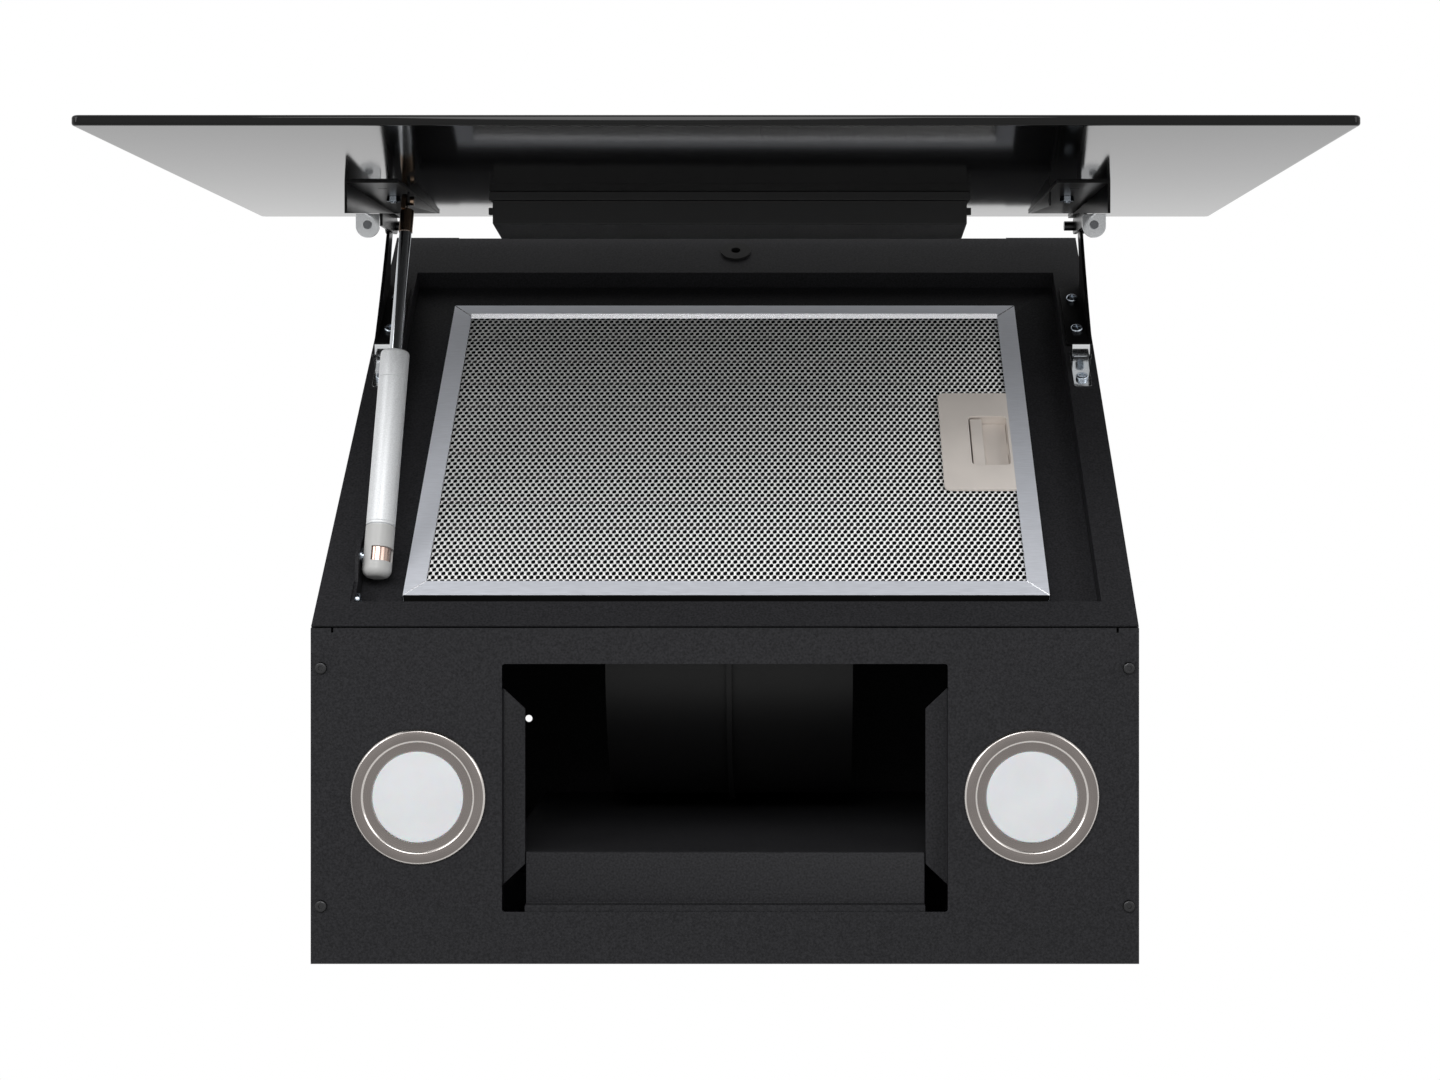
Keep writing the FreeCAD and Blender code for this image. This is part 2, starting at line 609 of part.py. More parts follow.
def hinge_bolts():
    """The two pivot bolts, heads outside the arms."""
    bolts = []
    for side in (-1, 1):
        out = side * ARM_OUT
        head = rod(HINGE_BOLT_HEAD, (out, HINGE.y, HINGE.z), (out + side * 1.8, HINGE.y, HINGE.z))
        shank_end = side * (HALF - HINGE_BOLT_END_INSET)
        shank = rod(HINGE_BOLT_RADIUS, (out + side * 0.1, HINGE.y, HINGE.z), (shank_end, HINGE.y, HINGE.z))
        bolts.append(join(head, shank))
    return group(bolts)


def clip_leaf(side):
    """One spring leaf of a catch: up from the foot, in towards the tongue, then flared out."""
    t0 = TONGUE_T + side * CLIP_SLIT / 2
    near = [(t0, 0), (t0 - side * 0.9, CLIP_HEIGHT * 0.62), (t0 + side * 2.6, CLIP_HEIGHT)]
    far = [(t + side * CLIP_SHEET, h) for t, h in reversed(near)]
    x0, x1 = HALF - CLIP_INSET - CLIP_WIDTH / 2, HALF - CLIP_INSET + CLIP_WIDTH / 2
    return side_plate(near + far, x0, x1)


def catch_clips():
    """Spring clips on the rim that pinch the tongues when the front is shut."""
    x0, x1 = HALF - CLIP_INSET - CLIP_WIDTH / 2, HALF - CLIP_INSET + CLIP_WIDTH / 2
    foot = rounded_block(x0, x1, TONGUE_T - CLIP_FOOT - 3, TONGUE_T + CLIP_FOOT, 0, CLIP_SHEET, 1.5)
    clip = join(foot, clip_leaf(-1), clip_leaf(1)).cut(rim_holes(2 * TAP_CLEARANCE))
    clip = incline(clip)
    return group([clip, mirrored(clip)])


def strut_screw_place():
    """Seat of the strut bracket's screw on the recess wall, in x, t, h."""
    return (RIM - HALF + STRUT_PLATE, RECESS_START + 7, FLOOR_H / 2 + 0.5)


def body_screws():
    """The zinc pan-head screws of the hinge arms, the catches and the strut bracket."""
    screws = [place(Placement(Vector(*seat), Rotation()), pan_screw()) for seat in rim_screws()]
    x, t, h = strut_screw_place()
    screws.append(place(Placement(Vector(x, t, h), Rotation(Vector(0, 1, 0), 90)), pan_screw()))
    return incline(group(screws))


def strut_bracket():
    """The plate on the left wall of the recess that carries the strut's foot."""
    wall = RIM - HALF
    t0, t1, h0 = RECESS_START + 1, STRUT_FOOT_T + 14, FLOOR_H + 0.3
    points = [(t0, h0), (t1, h0), (t1, -1), (STRUT_FOOT_T + 7, STRUT_FOOT_H + 6)]
    points += [(STRUT_FOOT_T - 7, STRUT_FOOT_H + 6), (STRUT_FOOT_T - 17, -1), (t0, -1)]
    plate = side_plate(points, wall, wall + STRUT_PLATE)
    x, t, h = strut_screw_place()
    return incline(plate.cut(rod(SCREW_RADIUS + TAP_CLEARANCE, (x - 5, t, h), (x + 5, t, h))))


def strut_foot_stud():
    """The ball stud that the strut's lower end snaps onto."""
    plate_x = RIM - HALF + STRUT_PLATE
    foot = STRUT_FOOT
    shank = rod(BALL_SHANK_RADIUS, (plate_x, foot.y, foot.z), (foot.x, foot.y, foot.z))
    flange = rod(BALL_RADIUS, (plate_x, foot.y, foot.z), (plate_x + 0.8, foot.y, foot.z))
    return join(Part.makeSphere(BALL_RADIUS, foot), shank, flange)


# ---- Gas strut, drawn about its foot along +Z ----
def strut_end_cap():
    """The plastic end cap, cut open at one side over the metal socket."""
    cap = rod(STRUT_RADIUS, (0, 0, -CAP_BELOW_FOOT), (0, 0, CAP_ABOVE_FOOT))
    low = [e for e in cap.Edges if e.BoundBox.ZMax < -CAP_BELOW_FOOT + 0.01]
    cap = cap.makeFillet(4.5, low)
    inner = STRUT_RADIUS - STRUT_WALL
    cavity = rod(inner, (0, 0, -BALL_RADIUS - 1), (0, 0, CAP_ABOVE_FOOT + 1))
    window = box(-2.5, STRUT_RADIUS + 1, -STRUT_RADIUS - 1, 3, -CAP_WINDOW, CAP_WINDOW)
    shank = rod(BALL_SHANK_RADIUS + 0.6, (-STRUT_RADIUS - 1, 0, 0), (0, 0, 0))
    return place(ON_STRUT, cap.cut([cavity, window, shank]))


def strut_socket():
    """The metal ball socket inside the cap, open towards the stud's shank."""
    radius = STRUT_RADIUS - STRUT_WALL - 0.1
    body = rod(radius, (0, 0, -BALL_RADIUS - 0.6), (0, 0, CAP_ABOVE_FOOT))
    ball = Part.makeSphere(BALL_RADIUS + RUNNING)
    channel = rod(BALL_SHANK_RADIUS + 0.5, (-STRUT_RADIUS, 0, 0), (0, 0, 0))
    return place(ON_STRUT, body.cut([ball, channel]))


def strut_cylinder():
    """The strut's tube, closed at its foot by a thick floor."""
    top = STRUT_TOP - COLLAR_LENGTH
    tube_body = rod(STRUT_RADIUS, (0, 0, CAP_ABOVE_FOOT), (0, 0, top))
    bore = rod(STRUT_RADIUS - STRUT_WALL, (0, 0, CAP_ABOVE_FOOT + 3), (0, 0, top + 1))
    return place(ON_STRUT, tube_body.cut(bore))


def strut_collar():
    """The guide at the tube's top, with the rod's bore."""
    low = STRUT_TOP - COLLAR_LENGTH
    ring = rod(STRUT_RADIUS, (0, 0, low), (0, 0, STRUT_TOP))
    top = [e for e in ring.Edges if e.BoundBox.ZMin > STRUT_TOP - 0.01]
    ring = ring.makeFillet(1.0, top)
    spigot = rod(STRUT_RADIUS - STRUT_WALL, (0, 0, low - 4), (0, 0, low + 0.1))
    bore = rod(ROD_RADIUS + RUNNING, (0, 0, low - 9), (0, 0, STRUT_TOP + 9))
    return place(ON_STRUT, join(ring, spigot).cut(bore))


def strut_rod():
    """The rod with the piston on its lower end."""
    piston_top = STRUT_TOP - COLLAR_LENGTH - 5
    piston_low = CAP_ABOVE_FOOT + 3 + STROKE + PISTON_SPARE
    piston = rod(STRUT_RADIUS - STRUT_WALL - RUNNING, (0, 0, min(piston_low, piston_top - 6)), (0, 0, piston_top))
    shaft = rod(ROD_RADIUS, (0, 0, piston_top - 1), (0, 0, STRUT_OPEN - FITTING_START))
    return place(ON_STRUT, join(piston, shaft))


def strut_end_fitting():
    """The head fitting: a round ferrule, a flat neck and an eye beside the bracket's wall."""
    ferrule = rod(FITTING_RADIUS, (0, 0, STRUT_OPEN - FITTING_START), (0, 0, STRUT_OPEN - FITTING_END))
    ferrule = ferrule.makeFillet(0.8, [e for e in ferrule.Edges if e.BoundBox.ZMin > STRUT_OPEN - FITTING_END - 0.01])
    x0 = -EYE_OFFSET - EYE_THICKNESS / 2
    neck = box(x0, x0 + EYE_THICKNESS, -EYE_RADIUS, EYE_RADIUS, STRUT_OPEN - FITTING_END - 0.1, STRUT_OPEN)
    eye = rod(EYE_RADIUS, (x0, 0, STRUT_OPEN), (x0 + EYE_THICKNESS, 0, STRUT_OPEN))
    return place(ON_STRUT, join(ferrule, neck, eye))


# ---- Glass front ----
def glass_panel():
    """Toughened glass with ground edges and small round corners."""
    pane = box(-GLASS_WIDTH / 2, GLASS_WIDTH / 2, GLASS_BACK - GLASS_THICKNESS, GLASS_BACK,
               GLASS_TOP - GLASS_HEIGHT, GLASS_TOP)
    corners = [e for e in pane.Edges if abs(e.tangentAt(e.FirstParameter).y) > 0.9]
    pane = pane.makeFillet(GLASS_CORNER, corners)
    faces = (GLASS_BACK, GLASS_BACK - GLASS_THICKNESS)
    rims = [e for e in pane.Edges if any(abs(e.BoundBox.YMin - y) + abs(e.BoundBox.YMax - y) < 1e-4 for y in faces)]
    return pane.makeFillet(GLASS_EDGE, rims)


def bracket_walls():
    """Inner and outer bracket walls, and the inner wall's outboard face, as distances from the middle."""
    head_x = HALF - STRUT_HEAD_INSET
    inner_face = head_x + EYE_OFFSET - EYE_THICKNESS / 2 - EYE_GAP
    return inner_face - BRACKET_BASE, inner_face, HALF - BRACKET_OUTER_INSET - BRACKET_WALL


def gusset(x0, x1, near, height, thin):
    """A bracket wall standing off the glass, tall at its near end and running out at the far end."""
    z_near, z_far = HINGE.z - near, HINGE.z - BRACKET_FAR
    y = GLASS_BACK
    points = [(y, z_near), (y + height, z_near), (y + thin, z_far), (y, z_far)]
    return side_plate(points, x0, x1)


def bracket_ear(x0, x1):
    """The rounded near end of the inner bracket wall, about the strut's upper pivot."""
    y, z = GLASS_BACK + STRUT_HEAD_OFF_GLASS, HINGE.z - STRUT_HEAD_BELOW
    foot = box(x0, x1, GLASS_BACK, y, z - BRACKET_EAR_RADIUS, z)
    return join(rod(BRACKET_EAR_RADIUS, (x0, y, z), (x1, y, z)), foot)


def lid_bracket_right():
    """A plate bonded to the glass, two gusset walls, and a lug that reaches up to the hinge bolt."""
    inner, inner_face, outer = bracket_walls()
    y = GLASS_BACK
    z_near, z_far = HINGE.z - BRACKET_NEAR, HINGE.z - BRACKET_FAR
    base = box(HALF - BRACKET_INNER_INSET, outer + BRACKET_WALL, y, y + BRACKET_BASE, z_near, z_far)
    outer_wall = gusset(outer, outer + BRACKET_WALL, BRACKET_NEAR, BRACKET_HEIGHT, BRACKET_BASE)
    ear_height = STRUT_HEAD_OFF_GLASS + BRACKET_EAR_RADIUS - 0.05
    inner_wall = gusset(inner, inner_face, STRUT_HEAD_BELOW, ear_height, BRACKET_BASE)
    inner_wall = join(inner_wall, bracket_ear(inner, inner_face))
    joggle = box(outer, LUG_OUT, y, y + BRACKET_BASE, z_far - 20, HINGE.z - ARM_END_RADIUS)
    lug = box(LUG_IN, LUG_OUT, y, HINGE.y + ARM_END_RADIUS, z_far - 20, HINGE.z)
    eye = rod(ARM_END_RADIUS, (LUG_IN, HINGE.y, HINGE.z), (LUG_OUT, HINGE.y, HINGE.z))
    slot_z = HINGE.z - BRACKET_SLOT_BELOW
    slot_x = HALF - NUT_INSET
    cuts = [box(slot_x - 2.5, slot_x + 2.5, y - 1, y + 5, slot_z - 0.6, slot_z + 0.6)]
    nut_z = HINGE.z - BRACKET_NUT_BELOW
    cuts.append(rod(STUD_RADIUS + 0.15, (slot_x, y - 1, nut_z), (slot_x, y + 5, nut_z)))
    bolt = HINGE_BOLT_RADIUS + HINGE_CLEARANCE
    cuts.append(rod(bolt, (LUG_IN - 1, HINGE.y, HINGE.z), (LUG_OUT + 1, HINGE.y, HINGE.z)))
    head_z = HINGE.z - STRUT_HEAD_BELOW
    head_y = y + STRUT_HEAD_OFF_GLASS
    cuts.append(rod(HEAD_RIVET_RADIUS, (inner - 1, head_y, head_z), (inner_face + 1, head_y, head_z)))
    return join(base, outer_wall, inner_wall, joggle, lug, eye).cut(cuts)


def strut_head_stud():
    """The bronze rivet in the left bracket that marks the strut's upper pivot."""
    inner, inner_face, outer = bracket_walls()
    y, z = STRUT_HEAD.y, STRUT_HEAD.z
    head = rod(HEAD_RIVET_HEAD, (-inner, y, z), (-inner + 2.3, y, z))
    return join(head, rod(HEAD_RIVET_RADIUS, (-inner_face, y, z), (-inner + 0.1, y, z)))


def bracket_nuts():
    """Studs bonded to the glass and the hexagon nuts on them."""
    pieces = []
    for side in (-1, 1):
        x, z = side * (HALF - NUT_INSET), HINGE.z - BRACKET_NUT_BELOW
        low = GLASS_BACK + BRACKET_BASE
        bar = hexagon(NUT_FLATS, 0, 0, 0, NUT_HEIGHT)
        nut = place(Placement(Vector(x, low, z), Rotation(X_AXIS, -90)), bar)
        pieces.append(nut.cut(rod(STUD_RADIUS, (x, low - 1, z), (x, low + 9, z))))
        pieces.append(rod(STUD_RADIUS, (x, GLASS_BACK, z), (x, low + NUT_HEIGHT + 0.8, z)))
    return group(pieces)


def tongue_x():
    """The middle of the right catch tongue."""
    return HALF - TONGUE_WIDTH / 2


def catch_tongues():
    """Tongues with round tips, each with a foot on its bracket's outer wall."""
    x, z = tongue_x(), HINGE.z - TONGUE_BELOW
    half = TONGUE_WIDTH / 2
    outer_face = HALF - BRACKET_OUTER_INSET
    wall_reach = BRACKET_HEIGHT * (TONGUE_BELOW + TONGUE_THICKNESS - BRACKET_FAR) / (BRACKET_NEAR - BRACKET_FAR)
    start = GLASS_BACK + wall_reach + 0.9
    tip = GLASS_BACK + TONGUE_REACH
    z0 = z - TONGUE_THICKNESS
    plate = box(x - half, x + half, start, tip - half, z0, z)
    plate = join(plate, rod(half, (x, tip - half, z0), (x, tip - half, z)))
    foot = box(outer_face, outer_face + 1.2, GLASS_BACK + BRACKET_BASE, start + 1, z0 - 11, z)
    y = GLASS_BACK + RIVET_REACH
    tongue = join(plate, foot).cut(rod(RIVET_RADIUS, (x, y, z0 - 1), (x, y, z + 1)))
    return group([tongue, mirrored(tongue)])


def tongue_rivets():
    x, y, z = tongue_x(), GLASS_BACK + RIVET_REACH, HINGE.z - TONGUE_BELOW
    z0 = z - TONGUE_THICKNESS
    rivet = join(rod(RIVET_HEAD, (x, y, z0 - 1), (x, y, z0)), rod(RIVET_RADIUS, (x, y, z0 - 0.1), (x, y, z + 0.1)),
                 rod(RIVET_HEAD, (x, y, z), (x, y, z + 0.8)))
    return group([rivet, mirrored(rivet)])


def housing_z():
    """Top and bottom of the control housing's cover."""
    top = HINGE.z - HOUSING_BELOW
    return top - HOUSING_HEIGHT, top


def control_housing():
    """The frame of the control housing, against the glass."""
    z0, z1 = housing_z()
    half, out = HOUSING_WIDTH / 2, HOUSING_STEP_OUT
    y0, y1 = GLASS_BACK, GLASS_BACK + HOUSING_STEP
    frame = box(-half - out, half + out, y0, y1, z0 - out, z1 + out)
    wall = HOUSING_WALL
    return frame.cut(box(-half + wall, half - wall, y0 - 1, y1 + 1, z0 + wall, z1 - wall))


def control_cover():
    """The cover of the control housing, deeper towards the hinge, with a snap lug at each end."""
    z0, z1 = housing_z()
    half, wall = HOUSING_WIDTH / 2, HOUSING_WALL
    y0, near, far = (GLASS_BACK + depth for depth in (HOUSING_STEP, HOUSING_DEPTH, HOUSING_DEPTH_FAR))
    shell = side_plate([(y0, z0), (near, z0), (far, z1), (y0, z1)], -half, half)
    shell = shell.makeFillet(1.0, [e for e in shell.Edges if e.BoundBox.YMin > near - 0.01])
    hollow = side_plate([(y0 - 1, z0 + wall), (near - wall, z0 + wall), (far - wall, z1 - wall),
                         (y0 - 1, z1 - wall)], -half + wall, half - wall)
    lug = box(half - 1, half + 2.6, y0 + HOUSING_LUG, y0 + 2 * HOUSING_LUG, z0 + 2, z0 + 2 + HOUSING_LUG)
    return join(shell.cut(hollow), lug, mirrored(lug))


def control_board():
    """The touch board behind the glass, held in the housing's frame."""
    z0, z1 = housing_z()
    half, inset = HOUSING_WIDTH / 2, HOUSING_WALL + 0.2
    y = GLASS_BACK + 0.3
    return box(-half + inset, half - inset, y, y + BOARD_THICKNESS, z0 + inset, z1 - inset)


# ---- Grease filter, drawn on the incline ----
def filter_rail(points):
    """One mitred rail of the frame: the part of the U-shaped ring inside an outline."""
    mid_x, mid_t = 0, FILTER_START + FILTER_LENGTH / 2
    ring = opening_block(0, FILTER_BACK_H, FILTER_FACE_H).cut(opening_block(-FILTER_RAIL, -99, 9))
    skin = FILTER_SKIN
    ring = ring.cut(opening_block(-skin - 0.2, FILTER_BACK_H + skin, FILTER_FACE_H - skin))
    return ring.common(flat_plate([(mid_x + x, mid_t + t) for x, t in points], -99, 99))


def filter_frame():
    """Four aluminium rails with mitred ends, and two tabs on the left one."""
    a, b = FILTER_HALF, FILTER_LENGTH / 2
    g = MITRE_GAP / math.sqrt(2)
    inner = b - 2 * FILTER_RAIL
    end = [(-a + g, b), (a - g, b), (a - g - 2 * FILTER_RAIL, inner), (-a + g + 2 * FILTER_RAIL, inner)]
    side_inner = a - 2 * FILTER_RAIL
    side = [(a, b - g), (side_inner, inner - g), (side_inner, -inner + g), (a, -b + g)]
    upper, lower = filter_rail(end), filter_rail([(x, -t) for x, t in end])
    right, left = filter_rail(side), filter_rail([(-x, t) for x, t in side])
    h1 = FLOOR_H - SHEET - 0.1
    tabs = [box(-a - FILTER_TAB, -a + 0.5, t - FILTER_TAB_WIDTH / 2, t + FILTER_TAB_WIDTH / 2, h1 - 1, h1)
            for t in tab_places()]
    reach = BOLT_WIDTH / 2 + BOLT_GAP
    slot = box(a - 2, a + 1, latch_middle() - reach, latch_middle() + reach, bolt_h() - BOLT_GAP,
               bolt_h() + BOLT_THICKNESS + BOLT_GAP)
    return incline(group([upper, lower, right.cut(slot), join(left, *tabs)]))


def latch_middle():
    return POCKET_START + POCKET_LENGTH / 2


def bolt_h():
    """Underside of the latch bolt, inside the frame's thickness."""
    return FILTER_BACK_H + FILTER_SKIN + 0.1 + BOLT_GAP


def latch_hole():
    """The space that the latch's cup takes out of the mesh, open to the right."""
    x0, x1, t0, t1 = latch_cavity(LATCH_WALL + MESH_GAP)
    return box(x0, FILTER_HALF, t0, t1, FILTER_BACK_H, FILTER_FACE_H)


def filter_mesh_front():
    """The expanded-metal face of the filter, in the frame's groove."""
    h1 = FILTER_FACE_H - FILTER_SKIN
    return incline(opening_block(-FILTER_SKIN - MESH_GAP, h1 - MESH_THICKNESS, h1).cut(latch_hole()))


def filter_mesh_core():
    """The finer mesh behind the face, pleated between the front mesh and the frame's back skin."""
    low, high = FILTER_BACK_H + FILTER_SKIN, FILTER_FACE_H - FILTER_SKIN - MESH_THICKNESS
    start, end = FILTER_START + FILTER_SKIN + MESH_GAP, FILTER_END - FILTER_SKIN - MESH_GAP
    steps = 2 * CORE_PLEATS
    ridge = [start + (end - start) * i / steps for i in range(steps + 1)]
    lower = [(t, low if i % 2 == 0 else high - CORE_THICKNESS) for i, t in enumerate(ridge)]
    upper = [(t, h + CORE_THICKNESS) for t, h in reversed(lower)]
    half = FILTER_HALF - FILTER_SKIN - MESH_GAP
    return incline(side_plate(lower + upper, -half, half).cut(latch_hole()))


def latch_cavity(grow):
    """The room that the latch slider moves in, grown by a margin, as x and t limits."""
    x0 = POCKET_LEFT - LATCH_TRAVEL - 3
    return (x0 - grow, POCKET_LEFT + POCKET_WIDTH + grow, POCKET_START - 1 - grow,
            POCKET_START + POCKET_LENGTH + 1 + grow)


def filter_latch_plate():
    """The moulded latch: a plate over the mesh with a finger pocket, and the cup behind it."""
    h0 = FILTER_FACE_H - FILTER_SKIN
    right = LATCH_LEFT + LATCH_WIDTH
    plate = box(LATCH_LEFT, right, LATCH_START, LATCH_START + LATCH_LENGTH, h0, h0 + LATCH_PLATE)
    left = [e for e in plate.Edges if e.BoundBox.XMax < LATCH_LEFT + 0.01 and e.BoundBox.ZLength > 1]
    plate = plate.makeFillet(LATCH_CORNER, left)
    x0, x1, t0, t1 = latch_cavity(LATCH_WALL)
    cup = box(x0, x1, t0, t1, FILTER_BACK_H + FILTER_SKIN, h0)
    x0, x1, t0, t1 = latch_cavity(0)
    cavity = box(x0, x1, t0, t1, bolt_h() - BOLT_GAP, h0)
    window = rounded_block(POCKET_LEFT, POCKET_LEFT + POCKET_WIDTH, POCKET_START, POCKET_START + POCKET_LENGTH,
                           h0 - 1, h0 + 9, POCKET_CORNER)
    half = BOLT_WIDTH / 2 + BOLT_GAP
    slot = box(x1 - 1, x1 + 9, latch_middle() - half, latch_middle() + half, bolt_h() - BOLT_GAP,
               bolt_h() + BOLT_THICKNESS + BOLT_GAP)
    return incline(join(plate, cup).cut([cavity, window, slot]))


def filter_latch_slider():
    """The finger tab on its base plate, and the bolt that it draws back from the tray."""
    x0 = POCKET_LEFT + 1
    low = bolt_h()
    tab = box(x0, x0 + SLIDER_WIDTH, POCKET_START + 1, POCKET_START + POCKET_LENGTH - 1, low,
              FILTER_FACE_H - FILTER_SKIN - BOLT_GAP)
    cavity_x0, cavity_x1, t0, t1 = latch_cavity(-BOLT_GAP)
    base = box(x0, cavity_x1, t0, t1, low, low + BOLT_THICKNESS)
    half = BOLT_WIDTH / 2
    tip = FILTER_HALF + FILTER_CLEARANCE - BOLT_GAP
    bolt = box(x0 + 1, tip, latch_middle() - half, latch_middle() + half, low, low + BOLT_THICKNESS)
    return incline(join(tab, base, bolt))


def filter_latch_spring():
    """The coil that pushes the slider's tab to the right."""
    x0 = latch_cavity(0)[0]
    length = POCKET_LEFT + 1 - x0
    pitch = (length - 2 * SPRING_WIRE) / SPRING_TURNS
    helix = Part.makeHelix(pitch, pitch * SPRING_TURNS, SPRING_RADIUS)
    circle = Part.Wire(Part.makeCircle(SPRING_WIRE, Vector(SPRING_RADIUS, 0, 0), Vector(0, 1, 0)))
    coil = Part.Wire(helix).makePipeShell([circle], True, True)
    middle_h = bolt_h() + SPRING_RADIUS + SPRING_WIRE
    where = Placement(Vector(x0 + SPRING_WIRE, latch_middle(), middle_h), Rotation(Vector(0, 1, 0), 90))
    return incline(place(where, coil))


# ---- Blower ----
def scroll_radius(angle, grow):
    """The volute grows evenly over three quarters of a turn."""
    return SCROLL_START + (SCROLL_END - SCROLL_START) * angle / 270 + grow


def scroll_point(angle, grow):
    """A point of the volute; the angle runs from the top towards the front."""
    a, r = math.radians(angle), scroll_radius(angle, grow)
    return Vector(0, BLOWER_Y - r * math.sin(a), BLOWER_Z + r * math.cos(a))


def scroll_block(grow, x0, x1, top):
    """The volute's outline with its straight throat up to the outlet, as a block along X."""
    rear, tongue = BLOWER_Y + SCROLL_END + grow, BLOWER_Y - THROAT_EXTRA - grow
    lip = scroll_point(20, grow)
    edges = []
    for start, end in ((20, 110), (110, 190), (190, 270)):
        arc = [scroll_point(start, grow), scroll_point((start + end) / 2, grow), scroll_point(end, grow)]
        edges.append(Part.Arc(*arc).toShape())
    corners = [scroll_point(270, grow), Vector(0, rear, top), Vector(0, tongue, top), Vector(0, tongue, lip.z + 4), lip]
    edges += [Part.LineSegment(a, b).toShape() for a, b in zip(corners, corners[1:])]
    outline = Part.Face(Part.Wire(Part.__sortEdges__(edges)))
    outline.translate(Vector(x0, 0, 0))
    return outline.extrude(Vector(x1 - x0, 0, 0))


def scroll_half_right():
    """Half of the blower's plastic scroll: side wall with its inlet, rim wall and joint flange."""
    half = BLOWER_WIDTH / 2
    shell = scroll_block(0, 0, half, TOP_UNDER).cut(scroll_block(-SCROLL_WALL, -1, half - SCROLL_WALL, TOP_UNDER + 5))
    flange = scroll_block(4, 0, 1.5, TOP_UNDER).cut(scroll_block(-1, -1, 9, TOP_UNDER + 9))
    inlet = rod(INLET_RADIUS, (half - 9, BLOWER_Y, BLOWER_Z), (half + 9, BLOWER_Y, BLOWER_Z))
    return join(shell, flange).cut(inlet)


def motor():
    """The motor in the drum's left half, with its shaft through the hub."""
    x1 = -HUB_LENGTH / 2 - 4
    can = rod(MOTOR_RADIUS, (x1 - MOTOR_LENGTH, BLOWER_Y, BLOWER_Z), (x1, BLOWER_Y, BLOWER_Z))
    shaft = rod(SHAFT_RADIUS, (x1 - 1, BLOWER_Y, BLOWER_Z), (HUB_LENGTH / 2 + 3, BLOWER_Y, BLOWER_Z))
    return join(can, shaft)


def motor_bracket():
    """A three-armed spider over the left inlet that carries the motor."""
    x0 = -BLOWER_WIDTH / 2 - 2
    motor_back = -HUB_LENGTH / 2 - 4 - MOTOR_LENGTH
    disc = rod(MOTOR_RADIUS / 2, (x0, BLOWER_Y, BLOWER_Z), (motor_back, BLOWER_Y, BLOWER_Z))
    pieces = [disc, tube(INLET_RADIUS + 6, INLET_RADIUS, (x0, BLOWER_Y, BLOWER_Z), (x0 + 2, BLOWER_Y, BLOWER_Z))]
    arm = box(x0, x0 + 2, -5, 5, 0, INLET_RADIUS + 3)
    for i in range(3):
        turn = Placement(Vector(0, BLOWER_Y, BLOWER_Z), Rotation(X_AXIS, 120 * i + 60))
        pieces.append(place(turn, arm))
    return join(*pieces)


def impeller():
    """A drum of blades between two rings, on a disc with a hub."""
    half = IMPELLER_WIDTH / 2
    y, z = BLOWER_Y, BLOWER_Z
    pieces = [rod(IMPELLER_RADIUS, (-1.2, y, z), (1.2, y, z)),
              rod(HUB_RADIUS, (-HUB_LENGTH / 2, y, z), (HUB_LENGTH / 2, y, z))]
    for x in (-half, half - 2):
        pieces.append(tube(IMPELLER_RADIUS, IMPELLER_INNER, (x, y, z), (x + 2, y, z)))
    blade = box(-half, half, -0.5, 0.5, IMPELLER_INNER + 0.5, IMPELLER_RADIUS - 0.5)
    for i in range(BLADES):
        turn = Placement(Vector(0, y, z), Rotation(X_AXIS, 360 / BLADES * i))
        pieces.append(place(turn, blade))
    bore = rod(SHAFT_RADIUS + RUNNING, (-half, y, z), (half, y, z))
    return pieces[0].multiFuse(pieces[1:]).cut(bore)


# ---- Outlet ----
def outlet_spigot():
    """The duct collar on a square base, with an inner ledge for the flaps."""
    half = SPIGOT_BASE / 2
    z0 = BODY_HEIGHT
    base = rounded_block(-half, half, OUTLET_Y - half, OUTLET_Y + half, z0, z0 + 2, 8)
    y = OUTLET_Y
    collar = tube(COLLAR_RADIUS, COLLAR_RADIUS - COLLAR_WALL, (0, y, z0 + 1), (0, y, z0 + COLLAR_HEIGHT))
    bore = rod(OUTLET_RADIUS, (0, y, z0 - 1), (0, y, z0 + 9))
    pin = rod(FLAP_PIN_RADIUS, (-COLLAR_RADIUS - 1, y, z0 + FLAP_PIN_UP), (COLLAR_RADIUS + 1, y, z0 + FLAP_PIN_UP))
    return join(base, collar).cut([bore, pin])


def flap_pin():
    z = BODY_HEIGHT + FLAP_PIN_UP
    reach = COLLAR_RADIUS - 0.1
    return rod(FLAP_PIN_RADIUS, (-reach, OUTLET_Y, z), (reach, OUTLET_Y, z))


def outlet_flap(side, knuckles):
    """Half a disc that lies on the collar's ledge, with knuckles on the shared pin."""
    z = BODY_HEIGHT + FLAP_PIN_UP
    low = BODY_HEIGHT + 2.3
    disc = rod(FLAP_RADIUS, (0, OUTLET_Y, low), (0, OUTLET_Y, low + FLAP_THICKNESS))
    edge = OUTLET_Y + side * 0.6
    far = OUTLET_Y + side * (FLAP_RADIUS + 1)
    disc = disc.common(box(-FLAP_RADIUS, FLAP_RADIUS, min(edge, far), max(edge, far), low - 1, low + 9))
    bore = FLAP_PIN_RADIUS + FLAP_CLEARANCE
    pieces = [disc]
    for x0, x1 in knuckles:
        pieces.append(rod(bore + 1.0, (x0, OUTLET_Y, z), (x1, OUTLET_Y, z)))
        web_far = OUTLET_Y + side * 2.5
        pieces.append(box(x0, x1, min(edge, web_far), max(edge, web_far), low, z))
    return join(*pieces).cut(rod(bore, (-FLAP_RADIUS - 9, OUTLET_Y, z), (FLAP_RADIUS + 9, OUTLET_Y, z)))


